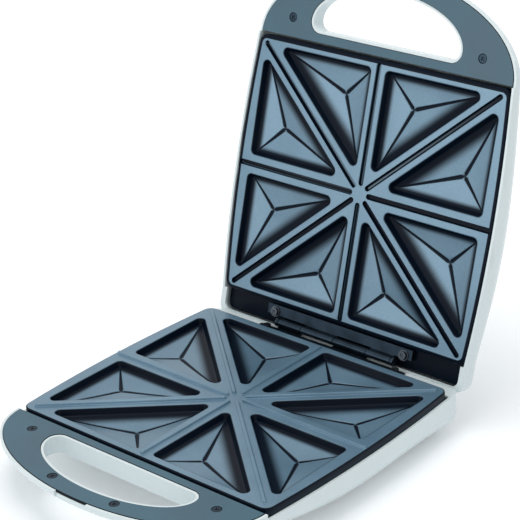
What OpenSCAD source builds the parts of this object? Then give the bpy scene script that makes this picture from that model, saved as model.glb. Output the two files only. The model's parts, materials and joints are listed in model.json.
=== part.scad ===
// Sandwich toaster with two hinged halves, looped handles and a swinging latch.
// Every piece is drawn in the shut frame: X across, the hinge at +Y, Z up, z = 0 where
// the two halves meet and y = 0 at the plates' back edge. The last step stands the base
// on its feet and swings the lid and latch to where they rest.

/* [Plates] */
// Width of a cooking plate at its corners
plate_w = 245; // [232:1:275]
// Depth of a cooking plate from hinge side to handle side
plate_d = 218; // [205:1:245]
// How far each side of a plate bows out at its middle
plate_bow = 4.8; // [3:0.2:7]
// Corner radius of a plate
plate_corner_r = 8; // [6:0.5:12]
// Gap between the two flat lands when shut
land_gap = 0.8; // [0.6:0.1:1.6]
// Metal thickness of the flat land
land_t = 4.5; // [4:0.25:6]
// Metal thickness of the pocket walls and floors
pocket_t = 2.8; // [2.2:0.2:4]
// Depth of the rim wall round the underside of a plate
rim_depth = 11.5; // [10:0.5:14]
// Thickness of the rim wall
rim_t = 3; // [2.5:0.25:4]
// Width of the eased edge of the upper plate
upper_edge_w = 3.6; // [2:0.2:5]
// Width of the eased edge of the lower plate
lower_edge_w = 1.2; // [0.8:0.2:2]

/* [Pockets] */
// Depth of a pocket where its floor meets the wall
pocket_wall_d = 5.4; // [4.6:0.2:6.6]
// Depth of a pocket at the point where its three floor faces meet
pocket_apex_d = 8.4; // [7.4:0.2:10]
// How far a pocket wall leans in over its depth
pocket_draft = 1.5; // [0.8:0.1:2.5]
// Corner radius of a pocket
pocket_r = 4; // [3:0.5:6]
// Land between a pocket and the centre line
margin_centre = 7.3; // [6.5:0.1:9]
// Land between a pocket and the front or back edge
margin_end = 7.5; // [7:0.1:10]
// Land between a pocket and the diagonal
margin_diagonal = 7.5; // [6.5:0.1:9]
// Land between a pocket and the cross line
margin_cross = 8.5; // [7:0.1:10]
// Land between a pocket and the side edge
margin_side = 7; // [6.5:0.1:10]
// Width of a sealing groove in the upper plate
groove_w = 5; // [4:0.2:6]
// Depth of a sealing groove
groove_d = 2.6; // [2:0.1:3]
// Width of a sealing ridge on the lower plate
ridge_w = 3.4; // [2.4:0.2:3.6]
// Height of a sealing ridge
ridge_h = 2; // [1.2:0.1:2]
// Radius of the flat hub where the grooves stop
hub_r = 7; // [6:0.5:10]

/* [Casings] */
// Wall thickness of the moulded casings
wall = 2; // [1.8:0.1:2.4]
// Gap between a plate and the casing wall round it
casing_gap = 0.4; // [0.3:0.05:0.6]
// How far the base rim lies below the meeting plane
base_rim_drop = 6.5; // [6:0.1:7]
// Greatest depth of the base casing
base_depth_mid = 37; // [35:0.5:42]
// Depth of the base casing at the handle
base_depth_tip = 10; // [9.5:0.5:11]
// Back face of the base casing behind the plates
base_rear_y = 12.5; // [12:0.1:12.8]
// Greatest depth of the lid casing
lid_depth_mid = 34; // [32:0.5:40]
// Depth of the lid casing at the handle
lid_depth_tip = 11; // [10:0.5:13]
// Depth of the lid casing at its back wall
lid_depth_rear = 21; // [20:0.5:25]
// Back face of the lid casing behind the plates
lid_rear_y = 22.4; // [22:0.1:23]
// Width of the lip behind the hinge channel of the lid
lid_lip_w = 4.2; // [3.6:0.1:4.4]
// Radius of the long edges of the casings
casing_edge_r = 22; // [16:1:24]

/* [Handles] */
// Reach of the handle trim in front of the plates
handle_reach = 66; // [60:1:80]
// Gap between a plate and the handle trim
trim_gap = 2.2; // [1.8:0.1:3]
// Thickness of the handle trim
trim_t = 2.5; // [2:0.1:3]
// How far a trim face lies back from its plate's land
trim_drop = 1; // [0.8:0.1:1.5]
// Half width of the hand hole
hole_half_w = 71.5; // [60:0.5:76]
// Reach of the hand hole in front of its widest line
hole_reach = 33; // [30:0.5:36]
// Distance of the hole's back edge from the trim's back edge
hole_back = 9.3; // [9:0.1:12]
// Radius of the back corners of the hand hole
hole_r = 7.5; // [6:0.5:9]
// Clearance between the trim and the casing round it
trim_fit = 0.3; // [0.2:0.05:0.5]

/* [Hinge] */
// How far the hinge pin lies behind the plates
hinge_y = 14; // [13.6:0.1:14.4]
// Height of the hinge pin relative to the meeting plane
hinge_z = -2; // [-2.2:0.1:-1.8]
// Radius of the hinge barrel
barrel_r = 3.5; // [3.2:0.1:3.6]
// Radius of the hinge pin
pin_r = 1.5; // [1.2:0.1:1.8]
// Running clearance of the pin in the lid knuckles
pin_fit = 0.05; // [0.02:0.01:0.09]
// Length of an outer knuckle
knuckle_outer = 23.5; // [18:0.5:28]
// Length of an inner knuckle
knuckle_inner = 33; // [26:0.5:36]
// Gap between neighbouring knuckles
knuckle_gap = 0.6; // [0.4:0.1:1]
// Sheet thickness of the hinge leaves
leaf_t = 1.8; // [1.6:0.1:2]
// Distance of the leaf screws from the centre
leaf_screw_x = 66; // [64:0.5:80]
// Angle to which the lid opens
open_angle = 105.2; // [95:0.1:106]

/* [Latch] */
// Width of the latch
latch_w = 28; // [22:1:32]
// Thickness of the latch arm
latch_t = 2.6; // [2.4:0.1:2.8]
// Side clearance of the latch in its notch
latch_side_gap = 1.5; // [0.8:0.1:2]
// Height of the latch pin above the meeting plane
latch_pin_z = 7.2; // [7:0.1:7.5]
// Radius of the latch pin
latch_pin_r = 1.3; // [1.1:0.1:1.5]
// How far the latch swings out to clear the base
latch_swing = 95; // [85:1:100]
// Gap between the latch hook and the base it holds
latch_hold_gap = 0.5; // [0.4:0.1:0.8]

/* [Heating] */
// Radius of the tubular elements
element_r = 3.2; // [3:0.1:3.6]
// Half spacing of the element's two legs
element_half_w = 55; // [50:1:62]
// Thickness of the heat reflectors
reflector_t = 0.8; // [0.6:0.1:1.2]
// Half width of the heat reflectors
reflector_half_w = 96; // [86:1:100]
// Radius of the thermostat body
thermostat_r = 11; // [9:0.5:12]

/* [Fixings and feet] */
// Shank radius of the screws
screw_r = 1.7; // [1.5:0.05:1.9]
// Head radius of the screws
screw_head_r = 3.4; // [3.1:0.1:3.6]
// Clearance round the shank of a screw
screw_fit = 0.05; // [0.03:0.01:0.09]
// Radius of the screw posts
post_r = 4.6; // [4.2:0.1:5]
// Radius of a rubber foot
foot_r = 8; // [7:0.5:9]
// Height of a foot below the base casing
foot_h = 6; // [5:0.5:10]
// Hole radius for the mains lead in its gland
cord_hole_r = 3.6; // [3.2:0.1:4]

/* [Hidden] */
$fn = 48;

// Colours
white = "#dfe9ec";
slate = "#4f6a7c";
coating = "#6f86a0";
steel = "#b9bec4";
dark_steel = "#3c4650";
black = "#1d2226";

// Steps used to draw curved outlines
arc_steps = 5;
side_steps = 12;
tip_steps = 24;

// Outlines of the casings and handles
side_e = casing_gap + wall;
mid_y = -plate_d / 2;
trim_y = -(plate_d + trim_gap);
front_y = trim_y - handle_reach - side_e;
step_y = trim_y + trim_gap / 3;
casing_half_w = plate_w / 2 + side_e;
widest_half_w = casing_half_w + plate_bow;
casing_corner_r = 8;
nose_r = 5;
far = 400;

// A casing is described by [rear y, rear edge radius, mid depth, mid y, tip depth, rear depth]
base_form = [base_rear_y, 12, base_depth_mid, mid_y, base_depth_tip, base_depth_mid];
lid_form = [lid_rear_y, 10, lid_depth_mid, mid_y + 22, lid_depth_tip, lid_depth_rear];

// Fits and thin clearances
touch = 0.05;
hole_clear = 0.3;

// Levels below the meeting plane, the same for both halves
land_z = -land_gap / 2;
trim_z = land_z - trim_drop;
handle_rim_z = trim_z - 0.5;
trim_under_z = trim_z - trim_t;
tab_t = 2.5;
front_tab_top = trim_under_z - 2.3;
element_z = land_z - rim_depth - element_r;
strap_t = 1.4;
strap_z = element_z - element_r - 0.2;

// Hand hole, and the front edges of hole and trim at x
hole_y = trim_y - hole_back - hole_r;
function hole_front(x) = hole_y - hole_reach * sqrt(1 - pow(x / hole_half_w, 2));
function trim_front(x) = trim_y - handle_reach * sqrt(1 - pow(x / (plate_w / 2), 2));

// Latch, as it hangs when it holds the two handles together
notch_half_w = latch_w / 2 + latch_side_gap;
latch_knuckle_r = 3;
latch_knuckle_gap = 0.6;
latch_proud = 0.8;
latch_hook_t = 2.2;
latch_hook_reach = 7.5;
latch_hook_y = front_y + latch_hook_reach;
latch_pin_y = front_y + latch_knuckle_r + latch_knuckle_gap;
latch_arm_y = front_y - latch_proud;
latch_hook_top = -base_depth_tip - latch_hold_gap;
base_notch_depth = latch_t - latch_proud + 0.5;
lid_notch_depth = latch_pin_y - front_y + latch_knuckle_r + latch_knuckle_gap;

// Trim screws, two beside the hand hole and two in front of it
trim_screw_len = 5;
trim_head_drop = 1.2;
trim_pilot = trim_screw_len + trim_head_drop - trim_t + 0.3;
side_screw_x = plate_w / 2 - 30;
side_screw_y = hole_y + 1;
front_screw_x = 2 * notch_half_w;
front_screw_y = hole_front(front_screw_x)
    + 0.45 * (trim_front(front_screw_x) - hole_front(front_screw_x));
trim_screws = [[-side_screw_x, side_screw_y], [side_screw_x, side_screw_y],
               [-front_screw_x, front_screw_y], [front_screw_x, front_screw_y]];

// Tabs and screws that hold a plate, in front and under the hinge leaves
front_tab_x = plate_w / 2 - 14.5;
front_tab_screw_y = trim_y - 6.5;
front_tab_half_w = 6;
leaf_screw_y = 7;
leaf_half_w = leaf_screw_x + 8;
front_tab_posts = [[-front_tab_x, front_tab_screw_y], [front_tab_x, front_tab_screw_y]];
leaf_posts = [[-leaf_screw_x, leaf_screw_y], [leaf_screw_x, leaf_screw_y]];
plate_post_r = 3.6;

// Hinge leaves and barrel
leaf_rise = barrel_r - 0.4;
base_leaf_top = hinge_z - leaf_rise;
base_tab_top = base_leaf_top - leaf_t - touch;
lid_leaf_under = hinge_z + leaf_rise;
lid_tab_top = -(lid_leaf_under + leaf_t + touch);
upper_flange_top = -5.5;
half_barrel = knuckle_inner + knuckle_outer + 1.5 * knuckle_gap;
inner_x0 = knuckle_gap / 2;
outer_x0 = inner_x0 + knuckle_inner + knuckle_gap;
cap_r = barrel_r + 0.3;
cap_t = 2.6;
washer_t = 0.8;
channel_half_w = plate_w / 2 - 2.5;
channel_y = lid_rear_y - lid_lip_w;
flange_gap = 0.5;

// Row of the pilot lamps, and the room from it back to the elements
lens_y = 30 - plate_d;
lens_to_element = 25;

// Elements: a half circle with two straight legs, cast rails over them and three straps
element_arc_y = lens_y + lens_to_element + element_half_w;
element_end_y = -12;
rail_half = 5;
pin_end_y = 1;
cold_pin_r = 1.1;
pin_z = element_z - touch;
seal_r = 4;
seal_len = 7;
strap_reach = 9.5;
strap_half_w = 5;
strap_y = mid_y + 39;
straps = [[-element_half_w, strap_y, 0], [element_half_w, strap_y, 180],
          [0, element_arc_y - element_half_w, 90]];
strap_screws = [for (s = straps) [s.x + strap_reach * cos(s[2]), s.y + strap_reach * sin(s[2])]];
clamp_local_z = strap_z - land_z;

// Heat reflectors
pan_rim = 2.5;
pan_corner_r = 8;
pan_rear_y = -16;
base_pan_front_y = element_arc_y - element_half_w - 3;
lid_pan_front_y = element_arc_y - element_half_w - 7;
pan_screw_x = element_half_w + 15;
pan_screws = [for (y = [-40, base_pan_front_y + 38]) for (s = [-1, 1]) [s * pan_screw_x, y]];
lid_pan_screws = [for (y = [-40, lid_pan_front_y + 52]) for (s = [-1, 1]) [s * pan_screw_x, y]];

// Levels of the reflectors: the base's lies between straps and casing, to half a millimetre
strap_low = strap_z - strap_t;
pan_share = 0.53;
pan_floor_z = wall - casing_depth(base_form, base_pan_front_y);
pan_z = round(2 * (strap_low + pan_share * (pan_floor_z - strap_low))) / 2;
lid_pan_clear = 2.3;
lid_pan_z = strap_low - lid_pan_clear;

// Thermostat and thermal fuse under the middle of the lower plate
thermostat_ear_x = thermostat_r + 4.5;
thermostat_top = land_z - rim_depth - touch;
thermostat_h = 5.5;
ear_t = 1;
ear_half_w = 3.5;
fuse = [26, mid_y + 34];
fuse_r = 2.2;
fuse_len = 13;
fuse_wire_r = 0.5;
fuse_clip_t = 1;
fuse_screw = [fuse.x + 8, fuse.y];
fuse_z = land_z - rim_depth - fuse_r - touch;
fuse_clip_z = -rim_depth - 2 * fuse_r - 2 * touch;

// Terminal block on its pad at the back of the base
block_x = 24;
block_y = -4;
block_len = 32;
block_w = 12;
block_h = 10;
block_pad_z = 3.5 - base_depth_mid;
block_pad_edge = 2;
wire_pitch = 5;
wire_hole_r = 1.5;
wire_z = block_pad_z + 6.5;
block_screw_z = block_pad_z + 4;
block_screws = [[block_x - 12, block_y], [block_x + 12, block_y]];

// Leads and mains gland
lead_r = 1.2;
lead_gap = 0.15;
gland_x = plate_w / 2 - 30.5;
gland_z = -23;
gland_r = cord_hole_r + 1.6;
clamp_x = 10;
clamp_t = 2.4;
clamp_z = gland_z + cord_hole_r + 0.2;

// Feet, set into round seats, and air slots between them
foot_x = plate_w / 2 - 36.5;
foot_points = [for (y = [-10, mid_y - 41]) for (s = [-1, 1]) [s * foot_x, y]];
foot_seat_z = 1 - base_depth_mid;
plug_r = 3;
plug_len = 5;
air_slots = 7;
air_slot_w = 3;
air_slot_len = 30;
air_slot_pitch = 12;
air_slot_y = mid_y + 34;

// Tip of the swung-out latch in the shut frame, the rearmost point of the open toaster
arm_out = latch_pin_y - latch_arm_y;
arm_down = latch_pin_z - latch_hook_top + latch_hook_t;
latch_tip_y = latch_pin_y - arm_out * cos(latch_swing) - arm_down * sin(latch_swing);
latch_tip_z = latch_pin_z + arm_out * sin(latch_swing) - arm_down * cos(latch_swing);
rear_tip_y = hinge_y + (latch_tip_y - hinge_y) * cos(open_angle)
    + (latch_tip_z - hinge_z) * sin(open_angle);

// The open toaster stands centred over the origin, on its feet
stand_z = base_depth_mid + foot_h;
frame_y = -(front_y + rear_tip_y) / 2;

// ---- Placement ------------------------------------------------------------------

module place_base() {
    translate([0, frame_y, stand_z]) children();
}

module place_lid() {
    translate([0, frame_y + hinge_y, stand_z + hinge_z])
        rotate([-open_angle, 0, 0]) translate([0, -hinge_y, -hinge_z]) children();
}

// The lid's own pieces are drawn like the base's and turned over
module flip() {
    mirror([0, 0, 1]) children();
}

// ---- Shared functions -----------------------------------------------------------

function bow_at(y) = plate_bow * (1 - pow(min(1, abs((y - mid_y) / mid_y)), 2));
function arc_pts(cx, cy, r, a0, a1, n) =
    [for (i = [0:n]) let (a = a0 + (a1 - a0) * i / n) [cx + r * cos(a), cy + r * sin(a)]];
function mirrored(p) = [for (i = [len(p) - 1:-1:0]) [-p[i].x, p[i].y]];
function ease(t) = t <= 0 ? 0 : t >= 1 ? 1 : t * t * (3 - 2 * t);
function round_drop(s, r) = s <= 0 ? 0 : r - sqrt(max(0, r * r - s * s));

// Outline of a plate, grown by e
function plate_outline(e) =
    let (r = plate_corner_r, cx = plate_w / 2 - r + bow_at(-r),
         right = concat(arc_pts(cx, r - plate_d, r + e, -90, 0, arc_steps),
             [for (i = [1:side_steps - 1])
                 let (y = r - plate_d + (plate_d - 2 * r) * i / side_steps)
                 [plate_w / 2 + bow_at(y) + e, y]],
             arc_pts(cx, -r, r + e, 0, 90, arc_steps)))
    concat(right, mirrored(right));

// Outline of a casing seen from above, shrunk by e
function casing_outline(form, e) =
    let (r = casing_corner_r, cx = casing_half_w - r,
         right = concat(
             [for (i = [0:tip_steps - 1]) let (a = -90 + 90 * i / tip_steps)
                 [(casing_half_w - e) * cos(a), trim_y + (handle_reach + side_e - e) * sin(a)]],
             [for (i = [0:side_steps]) let (y = trim_y - trim_y * i / side_steps)
                 [casing_half_w + bow_at(max(y, -plate_d)) - e, y]],
             arc_pts(cx, form[0] - r, r - e, 0, 90, arc_steps)))
    concat(right, mirrored(right));

// Depth of a casing below the meeting plane at y
function casing_depth(form, y) =
    let (t = (y - front_y) / (form[3] - front_y), s = (y - form[3]) / (form[0] - form[3]))
    t < 1 ? form[4] + (form[2] - form[4]) * ease(t) : form[2] - (form[2] - form[5]) * s * s;

// Side profile of a casing as [y, z], shrunk by e
function casing_profile(form, e) =
    let (n = nose_r - e, r = form[1] - e, y0 = front_y + nose_r, y1 = form[0] - form[1])
    concat([[front_y + e, far]],
        [for (i = [0:arc_steps]) let (a = 90 * i / arc_steps)
            [y0 - n * cos(a), -casing_depth(form, y0) + nose_r - n * sin(a)]],
        [for (i = [1:2 * side_steps]) let (y = y0 + (y1 - y0) * i / (2 * side_steps))
            [y, e - casing_depth(form, y)]],
        [for (i = [1:arc_steps]) let (a = 90 * i / arc_steps, y = y1 + r * sin(a))
            [y, e - casing_depth(form, y1) + round_drop(y - y1, r)]],
        [[form[0] - e, far]]);

// Cross-section of a casing as [x, z], shrunk by e
function casing_section(form, e) =
    let (r = casing_edge_r, cx = widest_half_w - r, cz = r - form[2],
         right = concat(arc_pts(cx, cz, r - e, -90, 0, 2 * arc_steps), [[widest_half_w - e, far]]))
    concat(right, mirrored(right));

// Pilot lamps behind two lenses in the lid
lens_x = 15;
lens_r = 4;
lens_fit = 0.15;
lens_rim = 1.2;
lens_inner_z = wall - casing_depth(lid_form, lens_y);
lens_flange_z = lens_inner_z + 0.9;
lens_flange_t = 0.8;
lamp_r = 1.7;
lamp_len = 8;
lamp_plate_t = 1.6;
lamp_plate_z = lens_inner_z + 7;
lamp_post_x = 30;

// Outline of the hand hole, grown by e
function hole_outline(e) =
    let (right = concat(
        [for (i = [0:tip_steps - 1]) let (a = -90 + 90 * i / tip_steps)
            [(hole_half_w + e) * cos(a), hole_y + (hole_reach + e) * sin(a)]],
        arc_pts(hole_half_w - hole_r, hole_y, hole_r + e, 0, 90, arc_steps)))
    concat(right, mirrored(right));

// Outline of a handle trim, grown by e
function trim_outline(e) =
    let (half_w = casing_half_w - side_e + e,
         right = concat([for (i = [0:tip_steps]) let (a = -90 + 90 * i / tip_steps)
             [half_w * cos(a), trim_y + (handle_reach + e) * sin(a)]], [[half_w, trim_y + e]]))
    concat(right, mirrored(right));

// A pocket is a triangle given by its three corners round the hub, turning left
diagonal = sqrt(pow(plate_w / 2, 2) + pow(plate_d / 2, 2));
diagonal_clear = margin_diagonal * diagonal;
end_v = plate_d / 2 - margin_end;
side_u = plate_w / 2 - margin_side;
end_pocket = [
    [margin_centre, end_v],
    [margin_centre, (margin_centre * plate_d / 2 + diagonal_clear) / (plate_w / 2)],
    [(end_v * plate_w / 2 - diagonal_clear) / (plate_d / 2), end_v]];
side_pocket = [
    [side_u, margin_cross],
    [side_u, (side_u * plate_d / 2 - diagonal_clear) / (plate_w / 2)],
    [(margin_cross * plate_w / 2 + diagonal_clear) / (plate_d / 2), margin_cross]];

function side_len(p, i) = norm(p[(i + 1) % 3] - p[(i + 2) % 3]);
function in_centre(p) =
    let (a = side_len(p, 0), b = side_len(p, 1), c = side_len(p, 2))
    (a * p[0] + b * p[1] + c * p[2]) / (a + b + c);
function in_radius(p) =
    let (q = in_centre(p), d = (p[1] - p[0]) / norm(p[1] - p[0]), v = q - p[0])
    abs(d.x * v.y - d.y * v.x);
function heading(a, b) = atan2(b.y - a.y, b.x - a.x);
function turn(a, b) = (b - a + 720) % 360;

// Rounded outline of a pocket, grown by e
function pocket_outline(p, e) =
    let (q = in_centre(p), k = pocket_r / in_radius(p))
    [for (i = [0:2]) let (v = p[i], before = p[(i + 2) % 3], after = p[(i + 1) % 3],
                          c = v + (q - v) * k, a0 = heading(before, v) - 90,
                          sweep = turn(heading(before, v), heading(v, after)))
        each arc_pts(c.x, c.y, pocket_r + e, a0, a0 + sweep, 4)];

// Solid between a stack of rings with as many points each, closed to a point below
module stack(rings, levels, apex) {
    n = len(rings[0]);
    m = len(rings);
    points = concat([for (k = [0:m - 1]) for (p = rings[k]) [p.x, p.y, levels[k]]],
                    apex == undef ? [] : [apex]);
    top = [for (i = [n - 1:-1:0]) i];
    sides = [for (k = [0:m - 2]) for (i = [0:n - 1]) let (j = (i + 1) % n)
        [k * n + i, k * n + j, (k + 1) * n + j, (k + 1) * n + i]];
    last = (m - 1) * n;
    bottom = apex == undef ? [[for (i = [0:n - 1]) last + i]]
        : [for (i = [0:n - 1]) [last + i, last + (i + 1) % n, m * n]];
    polyhedron(points, concat([top], sides, bottom), convexity = 4);
}

// ---- Casings --------------------------------------------------------------------

module casing_solid(form, e) {
    intersection() {
        translate([0, 0, -far / 2]) linear_extrude(far) polygon(casing_outline(form, e));
        rotate([90, 0, 90]) translate([0, 0, -far]) linear_extrude(2 * far)
            polygon(casing_profile(form, e));
        translate([0, far, 0]) rotate([90, 0, 0]) linear_extrude(2 * far)
            polygon(casing_section(form, e));
    }
}

// Block from y0 to y1 and z0 to z1, centred on X
module bar(half_w, y0, y1, z0, z1) {
    translate([-half_w, y0, z0]) cube([2 * half_w, y1 - y0, z1 - z0]);
}

// Upright round bar between two levels
module rod(x, y, r, z0, z1) {
    translate([x, y, z0]) cylinder(r = r, h = z1 - z0);
}

// Hollow casing, open where the plate sits and under the handle trim
module casing(form, rim_drop, notch_depth) {
    difference() {
        casing_solid(form, 0);
        bar(far, step_y, far, -rim_drop, far);
        bar(far, -far, step_y, handle_rim_z, far);
        difference() {
            casing_solid(form, wall);
            bar(far, casing_gap, far, -rim_drop - wall, far);
            bar(far, -plate_d - casing_gap - wall, -plate_d - casing_gap, -far,
                front_tab_top - tab_t - trim_fit);
            translate([0, 0, -far / 2]) linear_extrude(far) polygon(hole_outline(wall));
            bar(notch_half_w + wall, -far, front_y + notch_depth + wall, -far, far);
        }
        translate([0, 0, -far / 2]) linear_extrude(far) polygon(hole_outline(0));
        translate([0, 0, trim_under_z - touch]) linear_extrude(far) difference() {
            polygon(trim_outline(trim_fit));
            polygon(hole_outline(wall));
        }
        bar(notch_half_w, -far, front_y + notch_depth, -far, far);
    }
}

// Post with a pilot hole that rises from a casing's floor
module casing_post(form, x, y, top) {
    intersection() {
        rod(x, y, post_r, -form[2] - 1, top);
        casing_solid(form, wall / 2);
    }
}

module pilot(x, y, top, depth = 9) {
    rod(x, y, screw_r + screw_fit, top - depth, top + 1);
}

// Pan-head screw with a cross recess, its head's underside at z
module screw(x, y, z, len, head_h = 1.8) {
    difference() {
        union() {
            rod(x, y, screw_r, z - len, z + head_h / 2);
            rod(x, y, screw_head_r, z, z + head_h);
        }
        for (a = [0, 90]) translate([x, y, z + head_h])
            rotate([0, 0, a + 45]) cube([3.6, 0.8, 1.6], center = true);
    }
}

module base_shell() {
    color(white) place_base() difference() {
        union() {
            casing(base_form, base_rim_drop, base_notch_depth);
            for (p = trim_screws) casing_post(base_form, p.x, p.y, trim_under_z - touch);
            for (p = front_tab_posts)
                casing_post(base_form, p.x, p.y, front_tab_top - tab_t - touch);
            for (p = leaf_posts) casing_post(base_form, p.x, p.y, base_tab_top - tab_t - touch);
            for (p = pan_screws) casing_post(base_form, p.x, p.y, pan_z - reflector_t - touch);
            for (s = [-1, 1])
                casing_post(base_form, gland_x + s * clamp_x, 0, clamp_z);
            intersection() {
                translate([block_x - block_len / 2 - block_pad_edge,
                           block_y - block_w / 2 - block_pad_edge / 2, -far])
                    cube([block_len + 2 * block_pad_edge, block_w + block_pad_edge,
                          far + block_pad_z]);
                casing_solid(base_form, wall / 2);
            }
            for (p = foot_points) rod(p.x, p.y, foot_r + 1.5, foot_seat_z - 1.5,
                                      -casing_depth(base_form, p.y) + wall);
        }
        // The rim is lowered where the hinge leaf crosses it
        bar(leaf_half_w + 1, casing_gap, hinge_y + barrel_r, base_tab_top - tab_t - 0.4, far);
        for (p = trim_screws) pilot(p.x, p.y, trim_under_z, trim_pilot);
        for (p = front_tab_posts) pilot(p.x, p.y, front_tab_top - tab_t);
        for (p = leaf_posts) pilot(p.x, p.y, base_tab_top - tab_t, 12);
        for (p = pan_screws) pilot(p.x, p.y, pan_z - reflector_t, 6);
        for (s = [-1, 1]) pilot(gland_x + s * clamp_x, 0, clamp_z);
        for (p = block_screws) pilot(p.x, p.y, block_pad_z, 3);
        for (p = foot_points) {
            rod(p.x, p.y, foot_r + 0.2, -far, foot_seat_z);
            rod(p.x, p.y, plug_r + screw_fit, -far, foot_seat_z + plug_len + 1);
        }
        translate([gland_x, 0, gland_z]) rotate([-90, 0, 0]) cylinder(r = gland_r, h = far);
        for (i = [0:air_slots - 1])
            translate([(i - (air_slots - 1) / 2) * air_slot_pitch - air_slot_w / 2, air_slot_y, -far])
                cube([air_slot_w, air_slot_len, far]);
    }
}

// Rectangle with rounded corners as points
function round_rect(x0, x1, y0, y1, r) = concat(
    arc_pts(x1 - r, y1 - r, r, 0, 90, arc_steps), arc_pts(x0 + r, y1 - r, r, 90, 180, arc_steps),
    arc_pts(x0 + r, y0 + r, r, 180, 270, arc_steps), arc_pts(x1 - r, y0 + r, r, 270, 360, arc_steps));

module lid_shell() {
    color(white) place_lid() flip() difference() {
        union() {
            casing(lid_form, 0, lid_notch_depth);
            for (p = trim_screws) casing_post(lid_form, p.x, p.y, trim_under_z - touch);
            for (p = front_tab_posts)
                casing_post(lid_form, p.x, p.y, front_tab_top - tab_t - touch);
            for (p = leaf_posts) casing_post(lid_form, p.x, p.y, upper_flange_top - tab_t - touch);
            for (p = lid_pan_screws)
                casing_post(lid_form, p.x, p.y, lid_pan_z - reflector_t - touch);
            for (s = [-1, 1])
                casing_post(lid_form, s * lamp_post_x, lens_y, lamp_plate_z - lamp_plate_t - touch);
        }
        // The hinge channel between the plate and the back lip
        translate([0, 0, -wall - 1]) linear_extrude(far)
            polygon(round_rect(-channel_half_w, channel_half_w, -12, channel_y, 6));
        for (p = trim_screws) pilot(p.x, p.y, trim_under_z, trim_pilot);
        for (p = front_tab_posts) pilot(p.x, p.y, front_tab_top - tab_t, 6);
        for (p = leaf_posts) pilot(p.x, p.y, upper_flange_top - tab_t);
        for (p = lid_pan_screws) pilot(p.x, p.y, lid_pan_z - reflector_t, 4);
        for (s = [-1, 1]) pilot(s * lamp_post_x, lens_y, lamp_plate_z - lamp_plate_t, 4);
        for (s = [-1, 1]) rod(s * lens_x, lens_y, lens_r + lens_fit, -far, lens_inner_z + 2);
        translate([-far, latch_pin_y, -latch_pin_z]) rotate([0, 90, 0])
            cylinder(r = latch_pin_r + 0.03, h = far + notch_half_w + wall + 0.1);
    }
}

// Dark trim that closes a handle
module handle_trim() {
    difference() {
        translate([0, 0, trim_under_z]) linear_extrude(trim_t) difference() {
            polygon(trim_outline(0));
            polygon(hole_outline(wall + trim_fit));
        }
        for (p = trim_screws) {
            rod(p.x, p.y, screw_r + hole_clear, -far, far);
            rod(p.x, p.y, screw_head_r + 0.4, trim_z - trim_head_drop, far);
        }
    }
}

module base_trim() {
    color(slate) place_base() handle_trim();
}

module lid_trim() {
    color(slate) place_lid() flip() handle_trim();
}

module trim_screw_set() {
    for (p = trim_screws) screw(p.x, p.y, trim_z - trim_head_drop, trim_screw_len, 1);
}

module base_trim_screws() {
    color(dark_steel) place_base() trim_screw_set();
}

module lid_trim_screws() {
    color(dark_steel) place_lid() flip() trim_screw_set();
}

// ---- Cooking plates -------------------------------------------------------------

// Runs its children once in each quarter round the hub
module quarters() {
    for (sx = [0, 1]) for (sy = [0, 1]) translate([0, mid_y, 0])
        mirror([sx, 0, 0]) mirror([0, sy, 0]) children();
}

module pocket_cuts() {
    quarters() for (p = [end_pocket, side_pocket]) let (q = in_centre(p))
        stack([pocket_outline(p, 0.3), pocket_outline(p, 0), pocket_outline(p, -pocket_draft)],
              [1, 0, -pocket_wall_d], [q.x, q.y, -pocket_apex_d]);
}

module pocket_cups() {
    quarters() for (p = [end_pocket, side_pocket]) let (q = in_centre(p))
        stack([pocket_outline(p, pocket_t), pocket_outline(p, pocket_t - pocket_draft)],
              [-1, -pocket_wall_d - pocket_t], [q.x, q.y, -pocket_apex_d - pocket_t]);
}

// Slot with round ends along +X
function slot_pts(x0, x1, w) = concat(arc_pts(x1, 0, w / 2, -90, 90, 6),
                                      arc_pts(x0, 0, w / 2, 90, 270, 6));

// The eight straight lines from the hub, w wide and drawn in by e at both ends
module rays(w, e) {
    corner = atan2(plate_d, plate_w);
    side_run = plate_w / 2 + plate_bow - 3.5;
    end_run = plate_d / 2 - 5;
    translate([0, mid_y]) for (s = [0, 180]) {
        for (a = [corner, -corner]) rotate(s + a)
            polygon(slot_pts(hub_r + w / 2 + e, diagonal - 11 - e, w));
        rotate(s) polygon(slot_pts(hub_r + w / 2 + e, side_run - e, w));
        rotate(s + 90) polygon(slot_pts(hub_r + w / 2 + e, end_run - e, w));
    }
}

// Path of the element's rail as a bent strip
module rail_outline() {
    a = element_half_w + rail_half;
    b = element_half_w - rail_half;
    polygon(concat([[a, element_end_y - 3]], arc_pts(0, element_arc_y, a, 0, -180, 16),
        [[-a, element_end_y - 3], [-b, element_end_y - 3]],
        arc_pts(0, element_arc_y, b, -180, 0, 16), [[b, element_end_y - 3]]));
}

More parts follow.
